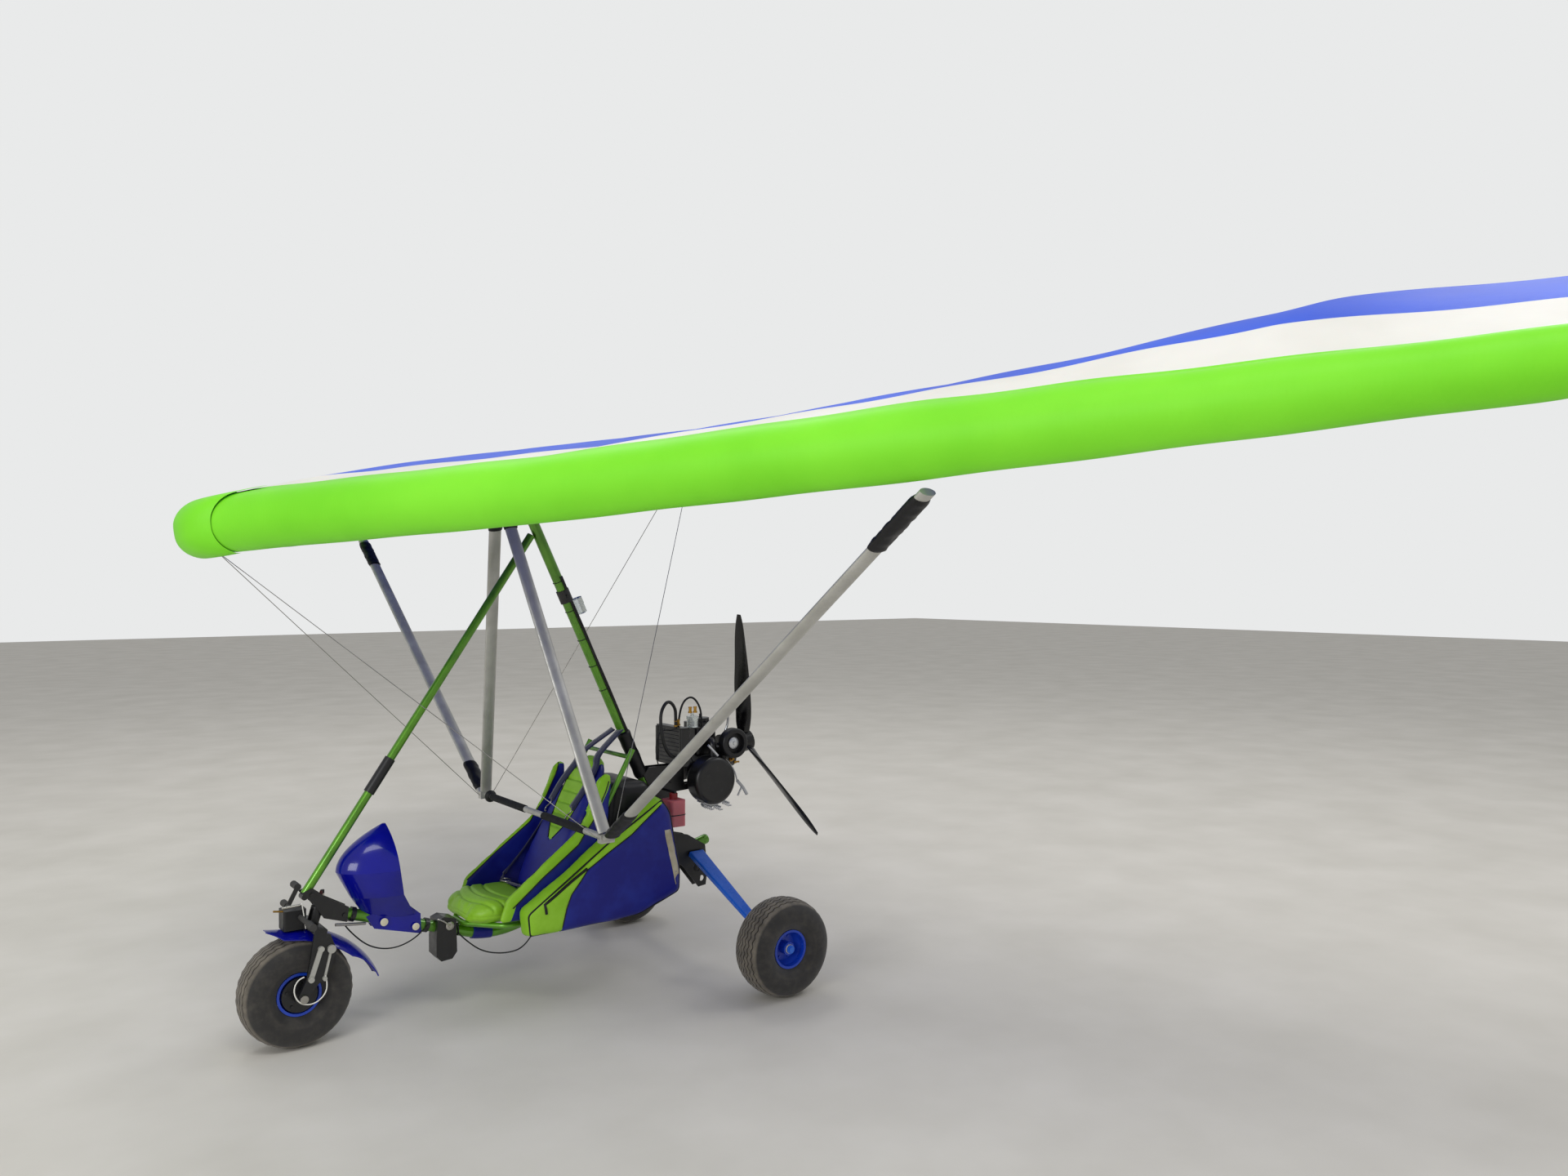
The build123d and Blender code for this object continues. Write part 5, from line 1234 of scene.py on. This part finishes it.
for side_name, side in SIDES.items():
    corner = BAR + Vector((0, BAR_CORNER * side, 0))
    foot, top = corner + Vector((0, 0.0258 * side, 0.006)), on_wing(1.493, -0.227, 2.662 * side)
    way = (top - foot).normalized()
    boots = (
        sleeve(f"strut_foot_sleeve_{side_name}", foot + way * 0.03, foot + way * 0.235, 0.0378, 0.0208),
        sleeve(f"strut_top_sleeve_{side_name}", top - way * 0.285, top - way * 0.03, 0.0376, 0.0206),
    )
    for boot in boots:
        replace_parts(boot, "strut_boots")
    apex = on_wing(1.324, -0.026) + Vector((0, 0.018 * side, -0.014))
    way = (apex - corner).normalized()
    sleeve(f"downtube_sleeve_{side_name}", apex - way * 0.19, apex - way * 0.04, 0.036, 0.0195)
for name, inner, outer in (("bar_foam_starboard", -0.572, -0.163), ("bar_foam_port", 0.033, 0.466)):
    length, profile = outer - inner, [(0, BAR_REACH)]
    for d in np.linspace(0, length, 60):
        turned_in = 1 - min(1, d / FOAM_END, (length - d) / FOAM_END)
        profile.append((d, FOAM_REACH - FOAM_ROUND * turned_in**2))
    profile.append((length, BAR_REACH))
    grip = turned(name, profile, BAR + Vector((0, inner, 0)), (0, 1, 0), FOAM, "wing")
    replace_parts(grip, "bar_grips")
half_turn = np.linspace(0.02, pi - 0.02, 20)
profile = [(BALL_HALF - BALL_HALF * cos(a), max(BAR_REACH, BALL_REACH * sin(a) ** 0.7)) for a in half_turn]
ball = turned("bar_ball", profile, BAR + Vector((0, -0.612, 0)), (0, 1, 0), HOSE_RUBBER, "wing")
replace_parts(ball, "bar_grips")
print("sleeves: six, grips: two and a ball")

# %% [markdown]
# ## Cables at the nose and under the keel
# Each cable or hose is a smooth line through given points, and its length is measured. It leaves one fitting
# straight, hangs or arches, and goes back into the machine.

# %% Cables and small hoses
WHITE_SHEATH = moulded("white_cable_sheath", "#e4e2da", 0.4, 0.001)
lengths = {}


def hung(name, points, radius, material, body):
    """A free cable or hose from the first point to the last; its length is kept in lengths."""
    points = [at(*p) for p in points]
    made = line(name, points, 0, material, body)
    made.data.bevel_resolution = 2
    thread = made.evaluated_get(bpy.context.evaluated_depsgraph_get()).to_mesh()
    length = length_of([v.co.copy() for v in thread.vertices])
    made.data.bevel_depth = radius
    lengths[name] = round(length, 3)


BRAKE_LOOP = (
    (0.0, 0.322), (0.026, 0.318), (0.045, 0.27), (0.02, 0.215), (-0.035, 0.2), (-0.082, 0.23),
    (-0.094, 0.275), (-0.085, 0.312),
)
KEEL_LOOP = (
    (-0.198, 0.474, 0.028), (-0.22, 0.44, 0.03), (-0.3, 0.362, 0.034), (-0.4, 0.335, 0.036),
    (-0.5, 0.362, 0.034), (-0.535, 0.393, 0.03),
)
REAR_LOOP = (
    (-0.7, 0.352, 0.03), (-0.735, 0.31, 0.036), (-0.81, 0.25, 0.06), (-0.9, 0.243, 0.12),
    (-0.95, 0.285, 0.2), (-0.96, 0.36, 0.258),
)
hung("brake_cable", [(x, z, 0.142) for x, z in BRAKE_LOOP], 0.0028, WHITE_SHEATH, "fork")
hung("throttle_cable", KEEL_LOOP, 0.0032, HOSE_RUBBER, "root")
hung("choke_cable", REAR_LOOP, 0.0032, HOSE_RUBBER, "root")
print("nose cables, in metres:", lengths)

# %% Fairing trim, collar and control box details
for k, (x, z, size) in enumerate(((-0.362, 0.462, 0.017), (-0.502, 0.418, 0.016))):
    disc = ((0, size), (0.002, size), (0.0026, size - 0.001), (0.0026, 0.006), (0.006, 0.006), (0.006, 0))
    for side_name, side in SIDES.items():
        face = at(x, z, WASHER_FACE * side)
        turned(f"fairing_washer_{k}_{side_name}", disc, face, (0, side, 0), CREAM_PLASTIC, "root", 28)
LEAD = ((-0.012, 0.607, 0.062), (-0.018, 0.56, 0.072), (-0.026, 0.5, 0.066))
hung("strut_foot_lead", LEAD, 0.0022, WHITE_SHEATH, "fork")
BOX_FACE = 0.048
KNOB = ((0, 0.019), (0.008, 0.019), (0.01, 0.016), (0.01, 0.007), (0.016, 0.007), (0.016, 0))
BOX_LEVER = (
    (-0.652, 0.398, BOX_FACE + 0.013), (-0.618, 0.43, BOX_FACE + 0.014), (-0.6, 0.434, BOX_FACE - 0.004),
)
BOX_CATCH = ((-0.69, 0.4, BOX_FACE - 0.01), (-0.705, 0.37, 0.03), (-0.7, 0.34, 0.02))
WRAP = [(-0.775 - 0.09 * t, 0.3375 - 0.0115 * t - 0.009 * t * (1 - t)) for t in np.linspace(0, 1, 6)]
LEVER = ((-0.155, 0.486, 0.036), (-0.22, 0.476, 0.036), (-0.285, 0.468, 0.028))
END_CAP = ((0, 0.0262), (0.02, 0.0262), (0.028, 0.022), (0.03, 0))
NOSE_RODS = (
    # name, points, radius, finish, body, smooth
    ("collar_spout", ((-0.113, 0.58), (-0.112, 0.622)), 0.0075, CREAM_PLASTIC, "root", False),
    ("collar_spout_cap", ((-0.112, 0.622), (-0.112, 0.636)), 0.0085, BLACK_PLASTIC, "root", False),
    ("throttle_lever", LEVER, 0.0065, STEEL, "root", True),
    ("brass_nipple", ((0.055, 0.577, 0.03), (0.094, 0.584, 0.034)), 0.004, BRASS, "fork", False),
    ("steel_link_rod", ((0.06, 0.59, 0.03), (-0.012, 0.596, 0.044)), 0.006, STEEL, "fork", False),
    ("keel_box_lever", BOX_LEVER, 0.0035, STEEL, "root", True),
    ("keel_box_catch", BOX_CATCH, 0.004, BLACK_PLASTIC, "root", True),
    ("keel_wrap", WRAP, 0.0315, VINYL_BLUE, "root", True),
)


def rods(rows):
    """Every bar, rod or wire of a table of them."""
    for name, points, radius, material, body, smooth in rows:
        line(name, [at(*p) for p in points], radius, material, body, smooth)


rods(NOSE_RODS)
turned("keel_end_cap", END_CAP, at(-2.04, 0.5914), (-0.9715, 0, 0.2369), GREEN_COAT, "root")
turned("keel_box_knob", KNOB, at(-0.652, 0.398, BOX_FACE), (0, 1, 0), STEEL, "root", 24)
print("nose details made; rods:", len(NOSE_RODS))

# %% [markdown]
# ## Engine bay
# A water-cooled twin hangs off the mast. What shows of it beside the castings is its plumbing: two hoses
# that arch over the radiator, a clear bowl with brass unions, a braided line to the carburettor, the springs
# that hold the silencer, and a ring filter.

# %% Engine plumbing
CHROME = drawn_metal("chromed_steel", "#e2e4e6", "#c4c6c9", 0.28, (1, 1, 1), 0.75)
RED_PLASTIC = moulded("red_cap", "#7d1418", 0.4)
HOSES = (
    # name, radius, finish, stiffness, points
    ("coolant_hose_front", 0.0085, HOSE_RUBBER, "stiff", (
        (-1.834, 1.2, 0.07), (-1.834, 1.245, 0.07), (-1.826, 1.31, 0.08), (-1.776, 1.352, 0.09),
        (-1.728, 1.3, 0.1), (-1.722, 1.22, 0.108), (-1.74, 1.12, 0.112), (-1.79, 1.06, 0.1),
        (-1.828, 1.055, 0.09),
    )),
    ("coolant_hose_rear", 0.0055, HOSE_RUBBER, "stiff", (
        (-1.862, 1.205, 0.05), (-1.864, 1.25, 0.05), (-1.885, 1.335, 0.055), (-1.94, 1.362, 0.06),
        (-1.99, 1.3, 0.06), (-2.0, 1.22, 0.055), (-2.01, 1.16, 0.045),
    )),
    ("braided_fuel_line", 0.0065, CHROME, "stiff", (
        (-1.982, 1.14, 0.036), (-1.965, 1.135, 0.085), (-1.99, 1.165, 0.12), (-2.03, 1.215, 0.125),
        (-2.08, 1.255, 0.12), (-2.135, 1.262, 0.1), (-2.15, 1.21, 0.08), (-2.128, 1.15, 0.075),
        (-2.125, 1.106, 0.074),
    )),
    ("overflow_line", 0.0032, HOSE_RUBBER, "medium", (
        (-1.832, 1.185, 0.02), (-1.8, 1.195, 0.018), (-1.762, 1.17, 0.012), (-1.75, 1.1, 0.01),
        (-1.755, 1.02, 0.02), (-1.79, 0.95, 0.034), (-1.825, 0.92, 0.036),
    )),
)
for name, radius, coat, stiffness, points in HOSES:
    hung(name, points, radius, coat, "root")
print("engine hoses, in metres:", {name: lengths[name] for name, *_ in HOSES})

# %% Unions, fins and springs
UNION = (
    (0, 0.011), (0.008, 0.011), (0.008, 0.0075), (0.026, 0.0075), (0.026, 0.0095), (0.032, 0.0095),
    (0.032, 0),
)
UNION_PLACES = ((-1.862, 1.212, 0.05), (-1.834, 1.21, 0.07), (-1.905, 1.277, 0.095), (-1.935, 1.277, 0.095))
FINS, FIN_ZERO, FIN_STEP, RADIATOR_FACE, RADIATOR_HALF = 9, 1.028, 0.0196, -1.834 + 0.0015, 0.095
for k, union in enumerate(UNION_PLACES):
    turned(f"brass_union_{k}", UNION, at(*union), (0, 0, 1), BRASS, "root", 12)
for k in range(FINS):
    across = np.linspace(-RADIATOR_HALF, RADIATOR_HALF, 20)
    fin = [at(RADIATOR_FACE, FIN_ZERO + k * FIN_STEP, y) for y in across]
    line(f"radiator_fin_{k}", fin, 0.0016, BLACK_COAT, "root", smooth=False)
MUFFLER, MUFFLER_REACH = at(-2.025, 0.925, 0.1), 0.122
SPRING, SPRING_REACH, SPRING_WIRE, SPRING_TURNS, SPRING_HOOK = 0.042, 0.0105, 0.003, 5, 0.012
SPRING_PLACES = (-118, -106, -94, -82, -70)  # degrees about the silencer's axis, along its underside


def coil(name, foot, way):
    """A spring: hooked at both ends, close wound between."""
    way = way.normalized()
    side = way.orthogonal().normalized()
    other = way.cross(side)
    body = []
    for t in np.linspace(0, 1, SPRING_TURNS * 7):
        a = 2 * pi * SPRING_TURNS * t
        body.append(foot + way * SPRING * t + (side * cos(a) + other * sin(a)) * SPRING_REACH)
    hooked = [foot - way * SPRING_HOOK, *body, foot + way * (SPRING + SPRING_HOOK)]
    line(name, hooked, SPRING_WIRE, CHROME, "root")


def round_muffler(turn, out, across):
    """A point this far off the silencer's skin, at this turn about its axis."""
    return MUFFLER + Vector((cos(turn), 0, sin(turn))) * (MUFFLER_REACH + out) + Vector((0, across, 0))


for k, turn in enumerate(SPRING_PLACES):
    foot = round_muffler(radians(turn), 0.012, 0.028 * (-1) ** k - 0.016)
    coil(f"silencer_spring_{k}", foot, Vector((-0.5, 0.3 * (-1) ** k, -0.25)))
for k, y in enumerate((-0.03, 0.035)):
    arc = [round_muffler(a, 0.003, y) for a in np.radians(np.linspace(-130, -60, 12))]
    line(f"silencer_bracket_{k}", arc, 0.0032, CHROME, "root")
print("unions:", len(UNION_PLACES), "fins:", FINS, "silencer springs:", len(SPRING_PLACES))

# %% Small engine fittings
CHOKE_ROD = ((-2.13, 1.024, 0.076), (-2.165, 0.985, 0.086), (-2.19, 0.94, 0.09), (-2.2, 0.895, 0.09))
STUB = ((-2.2, 0.9, 0.09), (-2.235, 0.862, 0.092), (-2.262, 0.822, 0.09))
STRAP_ROUND = ((-1, -0.7), (-1, 0.7), (-0.7, 1), (0.7, 1), (1, 0.7), (1, -0.7))
BOTTLE_STRAP = [(-1.76 + 0.0455 * a, 0.79, 0.168 + 0.0535 * b) for a, b in STRAP_ROUND]
ENGINE_RODS = (
    # name, points, radius, finish, body, smooth
    ("choke_rod", CHOKE_ROD, 0.0042, CHROME, "root", True),
    ("exhaust_stub", STUB, 0.0085, CHROME, "root", False),
    ("exhaust_stub_clip", ((-2.232, 0.872, 0.091), (-2.205, 0.82, 0.088)), 0.005, CHROME, "root", False),
    ("starter_lever", ((-1.978, 1.112, 0.152), (-2.036, 1.054, 0.152)), 0.0065, CHROME, "root", False),
    ("bottle_strap", BOTTLE_STRAP, 0.0025, BLACK_PLASTIC, "root", False),
)
rods(ENGINE_RODS)
SCREWS = (
    # place, way it points, size
    ((-2.152, 1.018, 0.095), (0, 1, 0.2), 0.012),
    ((-2.172, 1.002, 0.1), (-1, 0.2, 0), 0.008),
    ((-2.14, 0.99, 0.098), (0.4, 1, 0), 0.009),
    ((-2.19, 1.03, 0.09), (-0.6, 1, 0.4), 0.007),
)
for k, (screw, way, size) in enumerate(SCREWS):
    profile = ((0, size), (0.012, size), (0.012, size * 0.6), (0.03, size * 0.6), (0.03, 0))
    turned(f"carburettor_brass_{k}", profile, at(*screw), way, BRASS, "root", 10)
HUB = ((0, 0.03), (0.006, 0.03), (0.01, 0.022), (0.012, 0.01), (0.016, 0.008), (0.016, 0))
turned("filter_hub", HUB, at(-2.15, 1.107, 0.126), (0, 1, 0), CHROME, "root", 28)
RED_CAP = ((0, 0.0208), (0.03, 0.0208), (0.0315, 0.018), (0.0315, 0))
turned("bottle_red_cap", RED_CAP, at(-1.76, 0.8632, 0.168), (0, 0, 1), RED_PLASTIC, "root", 24)
print("engine fittings made; rods:", len(ENGINE_RODS))

# %% [markdown]
# A bundle of wires runs down the mast behind it, tied every few hundred millimetres, and thick black padding
# covers the mast where it passes the seat and the engine's plates.

# %% Mast wiring and padding
TIES = (1.95, 1.81, 1.67, 1.54, 1.42)
PAD_LOW, PAD_HIGH, PAD_END = 0.965, 1.2, 0.012
for k, up in enumerate(TIES):
    loop = [on_mast(up, cos(a), sin(a), MAST_REACH + 0.002) for a in np.linspace(0, 2 * pi, 17)]
    line(f"cable_tie_{k}", loop, 0.0017, BLACK_PLASTIC, "root")
for k, spread in enumerate((-0.28, 0.0, 0.26)):
    bundle = []
    for up in np.linspace(1.97, 1.17, 30):
        bundle.append(on_mast(up, 0.9, -0.45 + spread + 0.05 * sin(up * 21 + k), MAST_REACH + 0.0035))
    line(f"mast_wire_{k}", bundle, 0.0028, BLACK_PLASTIC, "root")
rings = []
for up in np.linspace(PAD_LOW, PAD_HIGH, 40):
    bulk = 0.0085 + 0.0035 * noise.noise(Vector((0, 0, up * 24)))
    swell = bulk * min(1, (up - PAD_LOW) / PAD_END + 0.3, (PAD_HIGH - up) / PAD_END + 0.3)
    ring = []
    for a in around(28):
        lump = 0.0015 * noise.noise(Vector((cos(a) * 2, sin(a) * 2, up * 40)))
        ring.append(on_mast(up, cos(a), sin(a), MAST_REACH + swell + lump))
    rings.append(ring)
padding = lofted("mast_padding", rings, BLACK_CLOTH, "root")
print("mast: ties", len(TIES), "and padding", round(PAD_HIGH - PAD_LOW, 3), "m high")

# %% [markdown]
# ## Light and floor
# The room is lit by long tubes under a pale roof, so there is no single sun: large soft lamps above, a pale
# surround, and a floor that keeps only a soft shadow. The level is set so that a colour renders as it is
# written.

# %% Light and floor
world = bpy.data.worlds.new("surround")
bpy.context.scene.world = world
world.use_nodes = True
sky = world.node_tree
background = sky.nodes["Background"]
background.inputs["Color"].default_value = linear("#e6e7e8")
background.inputs["Strength"].default_value = 0.6
paths = add(sky, "ShaderNodeLightPath").outputs
seen = add(sky, "ShaderNodeBackground", {"Color": linear("#e9eaea"), "Strength": 1.0})
direct = {0: paths["Is Camera Ray"], 1: paths["Is Transmission Ray"]}
clear = add(sky, "ShaderNodeMath", direct, operation="MAXIMUM")
choose = add(sky, "ShaderNodeMixShader", {0: clear.outputs[0], 1: background.outputs[0], 2: seen.outputs[0]})
sky.links.new(choose.outputs[0], sky.nodes["World Output"].inputs[0])

LAMPS = (
    # name, place, aimed at, size along and across, watts
    ("roof_port", (3.0, 6.5, 10.5), (-0.2, 0.3, 0.9), (8.0, 2.6), 330),
    ("roof_starboard", (-1.0, -6.0, 11.0), (-0.4, 0, 1.0), (8.0, 2.6), 260),
    ("roof_aft", (-8.5, 2.6, 9.5), (-0.6, 0, 1.0), (6.0, 2.6), 180),
    ("doorway", (10.0, 5.5, 4.4), (0.4, 0, 0.9), (5.0, 3.6), 360),
)
for name, where, aim, (long_side, short_side), watts in LAMPS:
    lamp = bpy.data.lights.new(name, "AREA")
    lamp.shape, lamp.size, lamp.size_y, lamp.energy = "RECTANGLE", long_side, short_side, watts
    fitting = bpy.data.objects.new(name, lamp)
    bpy.context.scene.collection.objects.link(fitting)
    fitting.location = where
    fitting.rotation_euler = (Vector(aim) - Vector(where)).to_track_quat("-Z", "Y").to_euler()

FLOOR = 40.0
floor_coat, floor_tree, floor_shader = finish("pale_floor", "#d9d5cc", 0.7)
patches = ramp(floor_tree, cloud(floor_tree, 0.6, 5), ((0.3, "#d3cfc6"), (0.7, "#dedad2")))
connect(floor_tree, floor_shader, Base_Color=patches)
floor_mesh = bpy.data.meshes.new("floor")
corners = [(-FLOOR, -FLOOR, 0), (FLOOR, -FLOOR, 0), (FLOOR, FLOOR, 0), (-FLOOR, FLOOR, 0)]
floor_mesh.from_pydata(corners, [], [(0, 1, 2, 3)])
floor_mesh.materials.append(floor_coat)
floor = bpy.data.objects.new("floor", floor_mesh)
bpy.context.scene.collection.objects.link(floor)
bpy.context.scene.view_settings.view_transform = "Standard"
print("lamps:", len(LAMPS), "and a pale floor")

# %% [markdown]
# Last, the view layer is updated, so that every piece stands at its place. The visual model must stay
# within the CAD model's box.

# %% Update the scene
bpy.context.view_layer.update()
